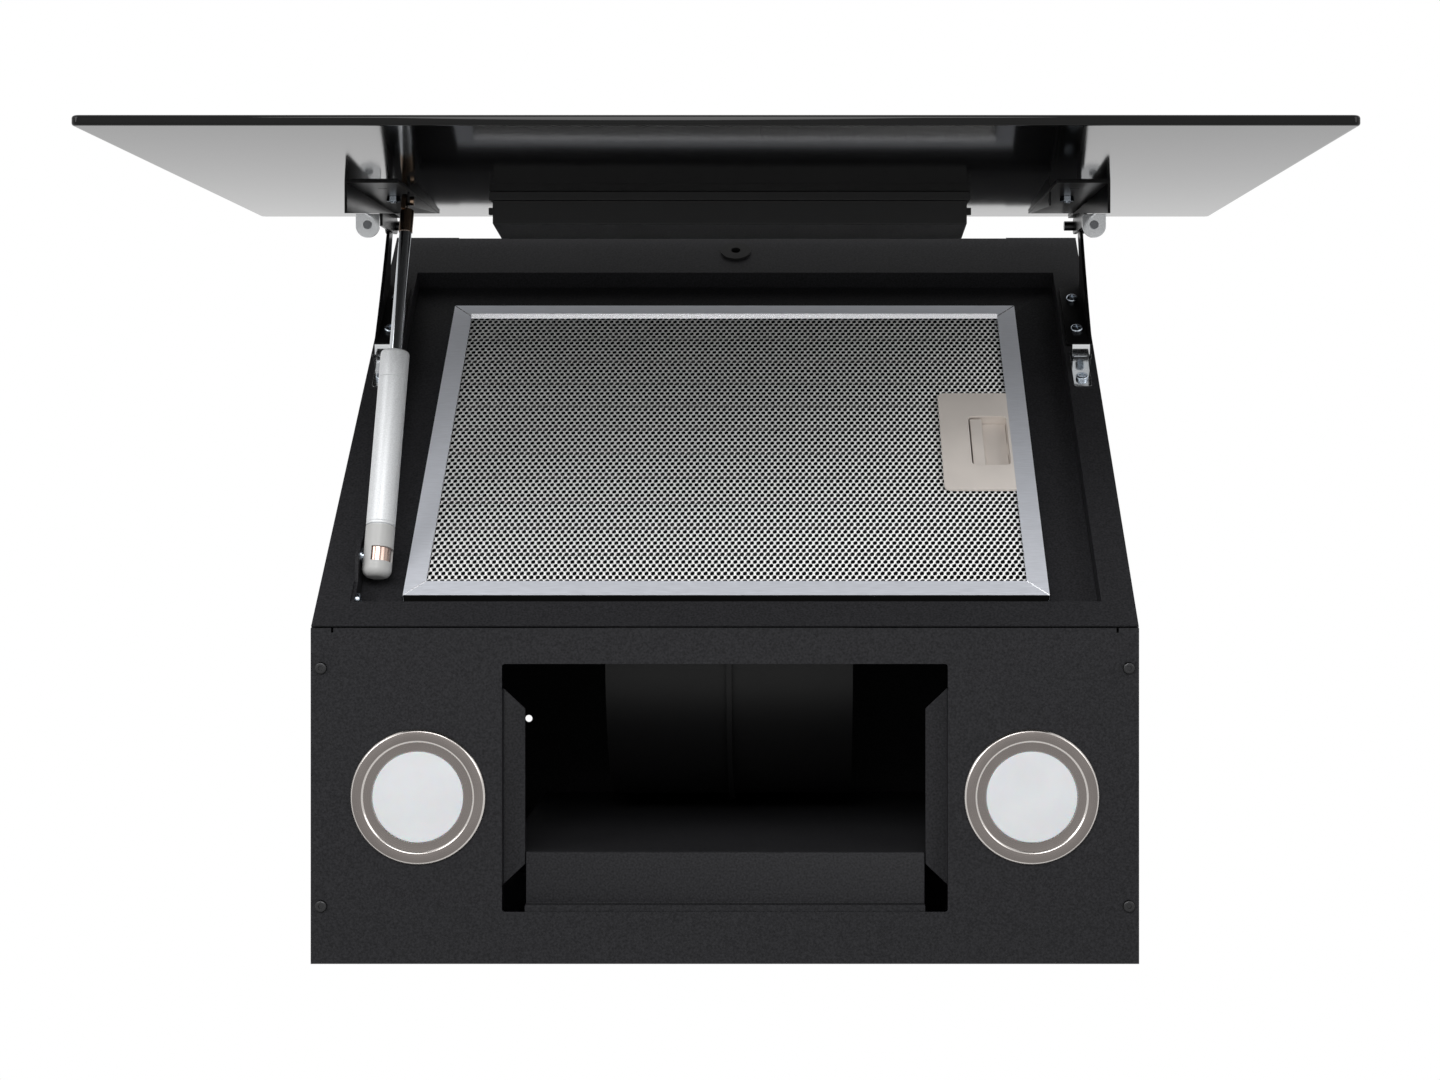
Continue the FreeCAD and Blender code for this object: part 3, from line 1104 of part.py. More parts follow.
# ---- Electrics between the plenum and the wall ----
def power_box():
    """A moulded box on the back panel, open towards the front."""
    w, d, h = POWER_BOX
    y0 = -SHEET - d + 2
    outer = box(-w / 2, w / 2, y0, -SHEET, POWER_BOX_Z, POWER_BOX_Z + h)
    return outer.cut(box(-w / 2 + 2, w / 2 - 2, y0 - 1, -SHEET - 2, POWER_BOX_Z + 2, POWER_BOX_Z + h - 2))


def power_box_lid():
    w, d, h = POWER_BOX
    y0 = -SHEET - d
    return box(-w / 2, w / 2, y0, y0 + 2, POWER_BOX_Z, POWER_BOX_Z + h)


def terminal_block():
    """The mains terminals inside the power box, with a row of screw wells."""
    w, d, h = TERMINAL
    z0 = POWER_BOX_Z + 20
    block = box(-w / 2, w / 2, -SHEET - 2 - d, -SHEET - 2, z0, z0 + h)
    wells = [rod(2.2, (x, -SHEET - 2 - d - 1, z0 + h / 2), (x, -SHEET - d + 6, z0 + h / 2))
             for x in (-20, -10, 0, 10, 20)]
    return block.cut(wells)


def capacitor():
    """The motor's capacitor, hanging from the shelf."""
    y = -PLENUM_WALL_Y / 2
    top = PLENUM_TOP_Z - SHEET
    return rod(CAPACITOR_RADIUS, (CAPACITOR_X, y, top - CAPACITOR_LENGTH), (CAPACITOR_X, y, top))


def cable_gland():
    """The mains lead's gland through the top panel."""
    x, y = GLAND_X, GLAND_Y
    body = rod(GLAND_RADIUS - TAP_CLEARANCE, (x, y, TOP_UNDER - 9), (x, y, BODY_HEIGHT + 14))
    nut = rod(GLAND_FLANGE, (x, y, TOP_UNDER - 4), (x, y, TOP_UNDER))
    flange = hexagon(2 * GLAND_FLANGE, x, y, BODY_HEIGHT, BODY_HEIGHT + 5)
    return join(body, nut, flange).cut(rod(GLAND_BORE, (x, y, TOP_UNDER - 20), (x, y, BODY_HEIGHT + 30)))


# ---- All pieces ----
def nodes():
    """Every node's name and shape."""
    side, rail, arm = side_panel_right(), intake_rail_right(), hinge_arm_right()
    bracket, scroll = lid_bracket_right(), scroll_half_right()
    return {
        "side_panel_left": mirrored(side),
        "side_panel_right": side,
        "back_panel": back_panel(),
        "top_panel": top_panel(),
        "lamp_panel": lamp_panel(),
        "lamp_panel_screws": lamp_panel_screws(),
        "filter_tray": filter_tray(),
        "cable_grommet": cable_grommet(),
        "plenum_back_wall": plenum_back_wall(),
        "intake_rail_left": mirrored(rail),
        "intake_rail_right": rail,
        "lamp_bezel_left": lamp_bezel(-LAMP_X),
        "lamp_bezel_right": lamp_bezel(LAMP_X),
        "lamp_diffuser_left": lamp_diffuser(-LAMP_X),
        "lamp_diffuser_right": lamp_diffuser(LAMP_X),
        "lamp_can_left": lamp_can(-LAMP_X),
        "lamp_can_right": lamp_can(LAMP_X),
        "hinge_arm_left": mirrored(arm),
        "hinge_arm_right": arm,
        "hinge_bolts": hinge_bolts(),
        "body_screws": body_screws(),
        "catch_clips": catch_clips(),
        "strut_bracket": strut_bracket(),
        "strut_foot_stud": strut_foot_stud(),
        "scroll_half_left": mirrored(scroll),
        "scroll_half_right": scroll,
        "motor": motor(),
        "motor_bracket": motor_bracket(),
        "capacitor": capacitor(),
        "outlet_spigot": outlet_spigot(),
        "flap_pin": flap_pin(),
        "power_box": power_box(),
        "power_box_lid": power_box_lid(),
        "terminal_block": terminal_block(),
        "cable_gland": cable_gland(),
        "glass_panel": glass_panel(),
        "lid_bracket_left": mirrored(bracket),
        "lid_bracket_right": bracket,
        "bracket_nuts": bracket_nuts(),
        "catch_tongues": catch_tongues(),
        "tongue_rivets": tongue_rivets(),
        "control_housing": control_housing(),
        "control_cover": control_cover(),
        "control_board": control_board(),
        "strut_head_stud": strut_head_stud(),
        "strut_end_cap": strut_end_cap(),
        "strut_socket": strut_socket(),
        "strut_cylinder": strut_cylinder(),
        "strut_collar": strut_collar(),
        "strut_rod": strut_rod(),
        "strut_end_fitting": strut_end_fitting(),
        "filter_frame": filter_frame(),
        "filter_mesh_front": filter_mesh_front(),
        "filter_mesh_core": filter_mesh_core(),
        "filter_latch_plate": filter_latch_plate(),
        "filter_latch_slider": filter_latch_slider(),
        "filter_latch_spring": filter_latch_spring(),
        "flap_front": outlet_flap(-1, ((-62, -46), (-14, 2), (30, 46))),
        "flap_rear": outlet_flap(1, ((-45, -29), (3, 19), (47, 62))),
        "impeller": impeller(),
    }


def write_nodes():
    """Lower every piece to the wall holes' frame and write it."""
    os.makedirs("parts", exist_ok=True)
    down = Placement(Vector(0, 0, -WALL_HOLES_UP), Rotation())
    for name, shape in nodes().items():
        place(down, shape).exportStep(os.path.join("parts", name + ".step"))


write_nodes()
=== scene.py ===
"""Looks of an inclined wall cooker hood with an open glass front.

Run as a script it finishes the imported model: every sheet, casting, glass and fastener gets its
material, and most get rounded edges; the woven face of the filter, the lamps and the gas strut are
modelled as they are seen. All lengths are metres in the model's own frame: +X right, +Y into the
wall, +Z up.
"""
import json
import math

import bmesh
import bpy
import numpy as np
from bpy.props import FloatProperty, FloatVectorProperty, IntProperty, PointerProperty
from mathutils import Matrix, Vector

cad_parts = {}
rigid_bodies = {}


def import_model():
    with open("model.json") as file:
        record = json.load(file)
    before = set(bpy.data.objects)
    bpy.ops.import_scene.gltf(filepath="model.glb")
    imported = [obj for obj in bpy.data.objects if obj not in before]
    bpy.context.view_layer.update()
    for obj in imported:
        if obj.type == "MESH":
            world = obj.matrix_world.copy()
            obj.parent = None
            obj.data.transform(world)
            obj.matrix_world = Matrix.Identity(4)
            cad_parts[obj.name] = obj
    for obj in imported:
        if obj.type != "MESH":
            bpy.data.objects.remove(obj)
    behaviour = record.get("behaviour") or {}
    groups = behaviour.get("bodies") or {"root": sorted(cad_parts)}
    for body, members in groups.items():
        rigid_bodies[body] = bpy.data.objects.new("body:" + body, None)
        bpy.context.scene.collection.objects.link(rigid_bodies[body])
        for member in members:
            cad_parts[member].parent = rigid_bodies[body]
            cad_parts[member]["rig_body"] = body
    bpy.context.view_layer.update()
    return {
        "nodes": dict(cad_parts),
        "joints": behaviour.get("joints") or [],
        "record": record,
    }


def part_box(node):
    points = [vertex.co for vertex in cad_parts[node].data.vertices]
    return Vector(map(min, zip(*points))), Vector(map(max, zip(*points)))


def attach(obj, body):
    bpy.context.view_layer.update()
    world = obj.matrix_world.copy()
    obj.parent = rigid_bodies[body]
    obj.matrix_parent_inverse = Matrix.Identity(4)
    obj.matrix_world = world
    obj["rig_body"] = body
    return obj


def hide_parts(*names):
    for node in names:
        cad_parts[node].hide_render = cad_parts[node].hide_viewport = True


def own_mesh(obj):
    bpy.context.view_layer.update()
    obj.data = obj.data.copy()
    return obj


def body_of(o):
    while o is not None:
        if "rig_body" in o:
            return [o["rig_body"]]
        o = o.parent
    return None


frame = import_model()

bl_info = {
    "name": "Inclined Cooker Hood Looks",
    "version": (1, 0, 0),
    "blender": (4, 5, 0),
    "location": "3D View > Sidebar > Cooker Hood",
    "description": "Finishes an inclined cooker hood with its glass front, filter, lamps and gas strut",
    "category": "Object",
}

MM = 0.001
JOINTS = {joint["name"]: joint for joint in frame["joints"]}
SLOT_OF = {part["node"]: part["material_slot"] for part in frame["record"]["subparts"]}
# The leaning face: its angle, where its lower edge lies, and its directions up the slope and out of it
INCLINE = math.radians(50.8)
INCLINE_FOOT_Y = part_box("lamp_panel")[0].y
LAMP_PANEL_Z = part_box("lamp_panel")[0].z
ALONG = np.array([0.0, -math.cos(INCLINE), math.sin(INCLINE)])
OUT = np.array([0.0, -math.sin(INCLINE), -math.cos(INCLINE)])

# Points closer than this are one
WELD = 0.001 * MM
# Edges sharper than these show on a sheet or a turned piece, or are rounded
SHEET_EDGE, TURNED_EDGE, ROUNDED_EDGE = math.radians(30), math.radians(32), math.radians(40)
# Faces that lie this near to flat are one
FLAT_DEGREES = 0.5


# ---- Colour and mesh helpers ----
def linear(code):
    """An sRGB hex colour as linear red, green, blue and alpha."""
    values = [int(code[i:i + 2], 16) / 255 for i in (1, 3, 5)]
    return tuple(v / 12.92 if v <= 0.04045 else ((v + 0.055) / 1.055) ** 2.4 for v in values) + (1.0,)


def shade(colour, factor):
    """A linear colour made darker or lighter."""
    return tuple(min(1.0, c * factor) for c in colour[:3]) + (1.0,)


def on_incline(x, t, h):
    """Points of the leaning face: foot edge, plus t up the slope, plus h out of it, plus x across it."""
    x, t, h = np.broadcast_arrays(x, t, h)
    foot = np.array([0.0, INCLINE_FOOT_Y, LAMP_PANEL_Z])
    points = foot + t[..., None] * ALONG + h[..., None] * OUT
    points[..., 0] += x
    return points


def place_piece(name, mesh, body, slot, *nodes):
    """An object for a mesh, riding on a body, in place of CAD nodes. Its slot argument is not used."""
    piece = bpy.data.objects.new(name, mesh)
    bpy.context.scene.collection.objects.link(piece)
    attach(piece, body)
    if nodes:
        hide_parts(*nodes)
    return piece


def make_mesh(name, points, faces, smooth=True):
    """A mesh from an array of points and an array of four-cornered faces."""
    mesh = bpy.data.meshes.new(name)
    mesh.from_pydata(points.reshape(-1, 3).tolist(), [], faces.tolist())
    mesh.polygons.foreach_set("use_smooth", np.full(len(mesh.polygons), smooth))
    mesh.update()
    return mesh


def grid_faces(rows, columns, wrap_rows=False, wrap_columns=True):
    """Corner numbers of the cells of a grid of points, closed on itself where asked."""
    r = np.arange(rows if wrap_rows else rows - 1)
    c = np.arange(columns if wrap_columns else columns - 1)
    r, c = np.meshgrid(r, c, indexing="ij")
    next_r, next_c = (r + 1) % rows, (c + 1) % columns
    corners = [r * columns + c, r * columns + next_c, next_r * columns + next_c, next_r * columns + c]
    return np.stack(corners, -1).reshape(-1, 4)


def frame_of(axis):
    """An axis as a unit vector, and two more square to it and to each other, the first near to +X."""
    axis = np.asarray(axis, float) / np.linalg.norm(axis)
    side = np.array([1.0, 0.0, 0.0]) if abs(axis[0]) < 0.9 else np.array([0.0, 1.0, 0.0])
    side = side - axis * side.dot(axis)
    side = side / np.linalg.norm(side)
    return axis, side, np.cross(axis, side)


def turned_mesh(name, profile, origin, axis, steps):
    """A closed ring or bar: a profile of (radius, height) turned about an axis.

    A point is the origin, plus its height along the axis, plus its radius times the cosine and sine
    of the turn along the two side vectors. The profile closes on itself.
    """
    profile = np.array(profile) * MM
    axis, side, other = frame_of(axis)
    turn = np.linspace(0, 2 * np.pi, steps, endpoint=False)
    spoke = np.cos(turn)[:, None] * side + np.sin(turn)[:, None] * other
    points = (np.asarray(origin) + profile[:, None, 1, None] * axis
              + profile[:, None, 0, None] * spoke[None])
    on_axis = bool((profile[:, 0] < WELD).any())
    mesh = make_mesh(name, points, grid_faces(len(profile), steps, wrap_rows=not on_axis))
    merge(mesh, outwards=True)
    mesh.set_sharp_from_angle(angle=TURNED_EDGE)
    return mesh


def merge(mesh, outwards=False, flat_degrees=0.0):
    """Merge points that coincide, and where asked join flat faces or point all faces outwards."""
    work = bmesh.new()
    work.from_mesh(mesh)
    bmesh.ops.remove_doubles(work, verts=work.verts, dist=WELD)
    if flat_degrees:
        bmesh.ops.dissolve_limit(work, verts=work.verts, edges=work.edges,
                                 angle_limit=math.radians(flat_degrees))
    if outwards:
        bmesh.ops.recalc_face_normals(work, faces=work.faces)
    work.to_mesh(mesh)
    work.free()


def of_faces(mesh, value):
    """The normal or the center of each face, as an array of points."""
    found = np.empty(len(mesh.polygons) * 3)
    mesh.polygons.foreach_get(value, found)
    return found.reshape(-1, 3)


def second_look(mesh, look, chosen):
    """Give the chosen faces of a mesh a second material."""
    mesh.materials.append(look)
    mesh.polygons.foreach_set("material_index", chosen.astype(np.int32))


def finish(node, look, edge_mm=None):
    """Give a CAD piece its material, or put a copy with rounded edges in its place.

    With an edge of 0 the copy is left sharp.
    """
    source = frame["nodes"][node]
    if edge_mm is None:
        if not source.material_slots:
            source.data.materials.append(look)
        for held in source.material_slots:
            held.material = look
        return source
    mesh = source.data.copy()
    mesh.name = f"{node}_finished"
    merge(mesh, flat_degrees=FLAT_DEGREES)
    mesh.materials.clear()
    mesh.materials.append(look)
    mesh.polygons.foreach_set("use_smooth", np.full(len(mesh.polygons), True))
    mesh.set_sharp_from_angle(angle=SHEET_EDGE)
    piece = place_piece(mesh.name, mesh, body_of(source)[0], SLOT_OF[node], node)
    if edge_mm:
        bevel = piece.modifiers.new("edges", "BEVEL")
        bevel.width = edge_mm * MM
        bevel.segments = 2
        bevel.limit_method = "ANGLE"
        bevel.angle_limit = ROUNDED_EDGE
        bevel.harden_normals = True
    return piece


# ---- Materials ----
# Sockets of a Mix node in its colour mode
MIX_SHARE, MIX_LOW, MIX_HIGH, MIX_RESULT = 0, 6, 7, 2
# The values that noise mostly keeps to, and a noise's stretch when its grains are round
NOISE_RANGE = {"From Min": 0.3, "From Max": 0.7}
ROUND = (1.0, 1.0, 1.0)


def add(tree, kind, links=None, **settings):
    """Add a node, set its properties, and fill its inputs with values or links."""
    made = tree.nodes.new(kind)
    for name, value in settings.items():
        setattr(made, name, value)
    for socket, value in (links or {}).items():
        if isinstance(value, bpy.types.NodeSocket):
            tree.links.new(value, made.inputs[socket])
        else:
            made.inputs[socket].default_value = value
    return made


def surface(name, inputs, tint, gloss=None, relief=None):
    """A material with one Principled shader, whose colour, roughness and relief follow noise.

    tint is a noise and the colours at its low and high values, gloss is a noise and the roughness at
    them, and relief is a noise and its height in mm. A noise is the size of its grains in mm, its
    detail, and a stretch that draws the grains out along an axis where it is under 1.
    """
    made = bpy.data.materials.new(name)
    made.use_nodes = True
    tree = made.node_tree
    tree.nodes.clear()
    shader = add(tree, "ShaderNodeBsdfPrincipled", inputs)
    add(tree, "ShaderNodeOutputMaterial", {"Surface": shader.outputs[0]})
    place = add(tree, "ShaderNodeTexCoord").outputs["Object"]
    noises = {}
    for use in filter(None, (tint, gloss, relief)):
        if use[0] not in noises:
            grain_mm, detail, stretch = use[0]
            scaled = add(tree, "ShaderNodeMapping", {"Vector": place, "Scale": stretch})
            noises[use[0]] = add(tree, "ShaderNodeTexNoise",
                                 {"Vector": scaled.outputs[0], "Scale": 1000.0 / grain_mm,
                                  "Detail": detail}).outputs["Fac"]
    noise, low, high = tint
    share = add(tree, "ShaderNodeMapRange", {"Value": noises[noise], **NOISE_RANGE})
    mix = add(tree, "ShaderNodeMix", {MIX_SHARE: share.outputs[0], MIX_LOW: low, MIX_HIGH: high},
              data_type="RGBA")
    tree.links.new(mix.outputs[MIX_RESULT], shader.inputs["Base Color"])
    if gloss:
        noise, low, high = gloss
        rough = add(tree, "ShaderNodeMapRange",
                    {"Value": noises[noise], **NOISE_RANGE, "To Min": low, "To Max": high})
        tree.links.new(rough.outputs[0], shader.inputs["Roughness"])
    if relief:
        noise, height_mm = relief
        bump = add(tree, "ShaderNodeBump", {"Height": noises[noise], "Distance": height_mm * MM})
        tree.links.new(bump.outputs[0], shader.inputs["Normal"])
    return made


def powder_coat(name, colour, roughness=0.45, specular=0.06):
    """Baked polyester powder on steel: a satin skin with a faint orange peel and a dusting of grains.

    The real peel is about 0.5 mm across, and is drawn twice as coarse, because finer doesn't show.
    """
    grain, cloud = (1.1, 3.0, ROUND), (45.0, 2.0, ROUND)
    return surface(name, {"IOR": 1.5, "Specular IOR Level": specular},
                   (grain, shade(colour, 0.65), shade(colour, 1.35)),
                   (cloud, roughness - 0.015, roughness + 0.015), (grain, 0.03))


def moulded(name, colour, roughness=0.45, grain_mm=0.8, specular=0.5):
    """Injection-moulded plastic: even colour with a spark-eroded grain from the tool."""
    grain, cloud = (grain_mm, 2.0, ROUND), (30.0, 2.0, ROUND)
    return surface(name, {"IOR": 1.49, "Specular IOR Level": specular},
                   (cloud, shade(colour, 0.95), shade(colour, 1.05)),
                   (grain, roughness - 0.04, roughness + 0.06), (grain, 0.015))


def plated(name, colour, roughness=0.2, cloud_mm=18.0):
    """Zinc, nickel or chrome plate over pressed steel: bright, with a soft cloud and fine wipe marks."""
    cloud, marks = (cloud_mm, 1.0, ROUND), (0.9, 2.0, (1.0, 0.3, 1.0))
    return surface(name, {"Metallic": 1.0}, (cloud, shade(colour, 0.94), shade(colour, 1.06)),
                   (marks, roughness * 0.85, roughness * 1.2), (marks, 0.003))


def brushed(name, colour, roughness, stretch, line_mm=0.6, metallic=1.0):
    """Metal rolled, drawn or brushed one way: fine lines along it that spread its shine.

    Under 1, metallic stands for the matt oxide of mill-finish aluminium, which also scatters light.
    """
    lines = (line_mm, 3.0, stretch)
    return surface(name, {"Metallic": metallic}, (lines, shade(colour, 0.94), shade(colour, 1.05)),
                   (lines, roughness * 0.85, roughness * 1.2), (lines, 0.006))


def back_printed_glass(name, colour, roughness):
    """Toughened float glass, mirror-bright, or the black enamel fired on it: dead flat, faintly clouded."""
    return surface(name, {"IOR": 1.5, "Specular IOR Level": 0.2, "Roughness": roughness},
                   ((90.0, 2.0, ROUND), shade(colour, 0.9), shade(colour, 1.1)))


def turned_ring(name, colour, centre, roughness):
    """Turned and lacquered metal: rings of tool marks about the lamp's axis, drawn 1 mm apart to show."""
    made = surface(name, {"Metallic": 1.0}, ((25.0, 2.0, ROUND), shade(colour, 0.95), shade(colour, 1.05)))
    tree = made.node_tree
    shader = tree.nodes["Principled BSDF"]
    place = tree.nodes["Texture Coordinate"].outputs["Object"]
    centred = add(tree, "ShaderNodeMapping", {"Vector": place, "Location": [-v for v in centre]})
    rings = add(tree, "ShaderNodeTexWave", {"Vector": centred.outputs[0], "Scale": 2000.0 / math.tau,
                                            "Distortion": 0.6, "Detail": 1.0},
                wave_type="RINGS", rings_direction="Z").outputs["Fac"]
    rough = add(tree, "ShaderNodeMapRange", {"Value": rings, **NOISE_RANGE, "To Min": roughness * 0.85,
                                             "To Max": roughness * 1.15})
    tree.links.new(rough.outputs[0], shader.inputs["Roughness"])
    bump = add(tree, "ShaderNodeBump", {"Height": rings, "Distance": 0.006 * MM})
    tree.links.new(bump.outputs[0], shader.inputs["Normal"])
    return made


def opal(name, colour):
    """Opal acrylic: milky, smooth, lit evenly through its thickness."""
    return surface(name, {"IOR": 1.49, "Roughness": 0.25,
                          "Subsurface Weight": 0.3, "Subsurface Scale": 4 * MM},
                   ((20.0, 2.0, ROUND), shade(colour, 0.97), shade(colour, 1.02)))


def metallic_paint(name, colour):
    """Silver lacquer on the gas strut: aluminium flakes of 0.05 mm, drawn at 0.7 mm so that they show."""
    flake = (0.7, 1.0, ROUND)
    return surface(name, {"Metallic": 0.25}, (flake, shade(colour, 0.9), shade(colour, 1.08)),
                   (flake, 0.38, 0.5), (flake, 0.004))


# ---- User settings ----
def colour_setting(label, code):
    """A colour in the sidebar, from an sRGB hex value."""
    return FloatVectorProperty(name=label, description=f"{label} colour", subtype="COLOR", size=4,
                               min=0.0, max=1.0, default=linear(code))


def length_setting(label, description, default_mm, most_mm):
    """A length in the sidebar, in metres, with its default and its most in millimetres."""
    return FloatProperty(name=label, description=description, default=default_mm * MM, min=0.0,
                         max=most_mm * MM, subtype="DISTANCE", unit="LENGTH")


class HoodColours(bpy.types.PropertyGroup):
    """Colours of the finishes."""
    coat: colour_setting("Powder coat", "#28282a")
    glass: colour_setting("Glass", "#090909")
    plastic: colour_setting("Black plastic", "#121213")
    filter_metal: colour_setting("Filter aluminium", "#dadde5")
    weave: colour_setting("Filter mesh", "#fbfbfa")
    latch: colour_setting("Latch plastic", "#e9e1da")
    lamp_ring: colour_setting("Lamp ring", "#7d7774")
    lens: colour_setting("Lamp lens", "#d8d9dc")
    barrel: colour_setting("Strut barrel", "#d6d8da")
    cap: colour_setting("Strut cap", "#b2b2b1")
    bronze: colour_setting("Bronze fittings", "#8f7a68")
    steel: colour_setting("Plated steel", "#cfd1d3")


class HoodSizes(bpy.types.PropertyGroup):
    """Sizes of the pieces that are modelled here."""
    mesh_across: length_setting("Mesh pitch across", "Width of one opening of the expanded metal", 3.6, 20)
    mesh_along: length_setting("Mesh pitch along", "Length of one opening of the expanded metal", 6.37, 30)
    strand_width: length_setting("Strand width", "Width of a strand of the expanded metal", 0.8, 5)
    knuckle_width: length_setting("Knuckle width", "Width of a strand where two meet", 1.35, 5)
    knuckle_rise: length_setting("Knuckle rise", "How far a knuckle leans out of the sheet", 0.36, 1)
    strand_thickness: length_setting("Strand thickness", "Thickness of the expanded sheet", 0.3, 2)
    strand_tilt: FloatProperty(name="Strand tilt", description="Turn of the strands out of the sheet",
                               default=math.radians(-36), min=math.radians(-80), max=math.radians(80),
                               subtype="ANGLE", unit="ROTATION")
    edge: length_setting("Edge rounding", "Radius on the edges of sheet and mouldings", 0.35, 2)
    lathe_steps: IntProperty(name="Turning steps", description="Sides of a turned piece",
                             default=96, min=24, max=256)


def colours():
    """The colours in use."""
    return bpy.context.scene.hood_colours


def sizes():
    """The sizes in use."""
    return bpy.context.scene.hood_sizes


# ---- The hood's pieces ----
class HOOD_OT_body(bpy.types.Operator):
    """Finish the body's sheets, rails and hidden walls"""
    bl_idname = "hood.body"
    bl_label = "Body sheets"

    def execute(self, context):
        edge = sizes().edge / MM
        coat = powder_coat("satin_black_powder_coat", tuple(colours().coat))
        for node in ("side_panel_left", "side_panel_right", "top_panel", "lamp_panel", "filter_tray",
                     "intake_rail_left", "intake_rail_right", "plenum_back_wall", "strut_bracket"):
            finish(node, coat, edge)
        finish("back_panel", plated("galvanised_steel_sheet", linear("#9a9c9e"), 0.45, 14.0))
        finish("cable_grommet", moulded("black_rubber", linear("#141414"), 0.75, 0.5, specular=0.3))
        return {"FINISHED"}


class HOOD_OT_hinges(bpy.types.Operator):
    """Finish the hinge arms, the brackets on the glass, the catches and the fasteners"""
    bl_idname = "hood.hinges"
    bl_label = "Hinges and fasteners"

    def execute(self, context):
        edge = sizes().edge / MM
        enamel = powder_coat("gloss_black_enamel", linear("#0f0f10"), roughness=0.3, specular=0.14)
        for node in ("hinge_arm_left", "hinge_arm_right", "lid_bracket_left", "lid_bracket_right"):
            finish(node, enamel, edge)
        nickel = plated("nickel_plated_spring_steel", tuple(colours().steel), 0.12)
        for node in ("catch_clips", "catch_tongues"):
            finish(node, nickel, edge)
        zinc = plated("blue_zinc_plated_steel", linear("#aeb6bf"), 0.2)
        for node in ("body_screws", "bracket_nuts", "strut_foot_stud"):
            finish(node, zinc, 0.2)
        finish("tongue_rivets", plated("nickelled_rivet", linear("#6c6e71"), 0.1), 0.2)
        finish("flap_pin", zinc)
        blackened = plated("blackened_steel", linear("#3a3a3b"), 0.35)
        for node in ("lamp_panel_screws", "hinge_bolts"):
            finish(node, blackened, 0.2)
        return {"FINISHED"}


class HOOD_OT_glass(bpy.types.Operator):
    """Finish the glass and the control housing on it"""
    bl_idname = "hood.glass"
    bl_label = "Glass front"

    def execute(self, context):
        black = tuple(colours().glass)
        glass = finish("glass_panel", back_printed_glass("black_toughened_glass", black, 0.03), 0.5).data
        # The enamel is on the side towards the wall, and reflects less sharply than the bare glass
        second_look(glass, back_printed_glass("fired_black_enamel", black, 0.08),
                    of_faces(glass, "normal")[:, 1] > 0.9)
        plastic = moulded("black_abs_moulding", tuple(colours().plastic), specular=0.3)
        for node in ("control_housing", "control_cover"):
            finish(node, plastic, sizes().edge / MM)
        finish("control_board", moulded("green_solder_mask", linear("#1c5a3a"), 0.3))
        return {"FINISHED"}


# Profiles as (radius, height out of the panel) in millimetres
LAMP_RING = [(24.35, -0.4), (24.35, 0.7), (24.55, 0.9), (28.8, 0.95), (29.05, 1.0), (29.75, 1.72),
             (30.0, 1.8), (34.6, 1.8), (34.8, 1.75), (35.75, 0.95), (35.95, 0.6), (36.0, 0.0),
             (29.0, 0.0), (29.0, -7.9), (27.8, -7.9), (27.8, -0.4)]
LAMP_LENS = [(0.0, -0.8), (24.15, -0.8), (24.15, 0.75), (23.9, 0.95), (23.0, 1.0), (0.0, 1.05)]


class HOOD_OT_lamps(bpy.types.Operator):
    """Turn the lamps' rings and lenses"""
    bl_idname = "hood.lamps"
    bl_label = "Lamps"

    def execute(self, context):
        steps = sizes().lathe_steps
        down = (0, 0, -1)
        lens_look = opal("opal_acrylic", tuple(colours().lens))
        sink = brushed("cast_aluminium", linear("#9c9c9c"), 0.4, ROUND)
        for hand in ("left", "right"):
            low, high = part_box(f"lamp_bezel_{hand}")
            centre = ((low.x + high.x) / 2, (low.y + high.y) / 2, LAMP_PANEL_Z)
            ring = turned_mesh(f"lamp_ring_{hand}", LAMP_RING, centre, down, 2 * steps)
            nickel = tuple(colours().lamp_ring)
            ring.materials.append(turned_ring(f"turned_nickel_{hand}", nickel, centre, 0.3))
            # Painted highlight: the two chamfers get a much lighter nickel that stands in for the shine
            # they catch
            lean = -of_faces(ring, "normal")[:, 2]
            second_look(ring, turned_ring(f"painted_highlight_nickel_{hand}", linear("#d2cdc9"), centre, 0.2),
                        (lean > 0.3) & (lean < 0.97))
            place_piece(ring.name, ring, "hood", "lamp_metal", f"lamp_bezel_{hand}")
            lens = turned_mesh(f"lamp_lens_{hand}", LAMP_LENS, centre, down, steps)
            lens.materials.append(lens_look)
            place_piece(lens.name, lens, "hood", "lamp_lens", f"lamp_diffuser_{hand}")
            finish(f"lamp_can_{hand}", sink)
        return {"FINISHED"}


# The filter on the leaning face: its start and length up the slope, its rails, and how far out its
# frame and its mesh lie
FILTER_START, FILTER_LENGTH = 31.6 * MM, 270.4 * MM
FILTER_RAIL, FILTER_FACE_H = 11.5 * MM, -5.0 * MM
MESH_INSET, MESH_MIDDLE_H = 1.6 * MM, -6.65 * MM
# The latch's cup, right of this x and between these places up the slope, takes the mesh's place
LATCH_CUP = (129.0 * MM, 140.2 * MM, 191.8 * MM)
# Sections as (across, out of the frame's face) in millimetres
LIP_SECTION = [(0.1, 1.9), (-1.8, -0.45), (0.1, -1.2)]
MITRE_SECTION = [(-0.4, -0.05), (0.0, 0.25), (0.4, -0.05)]


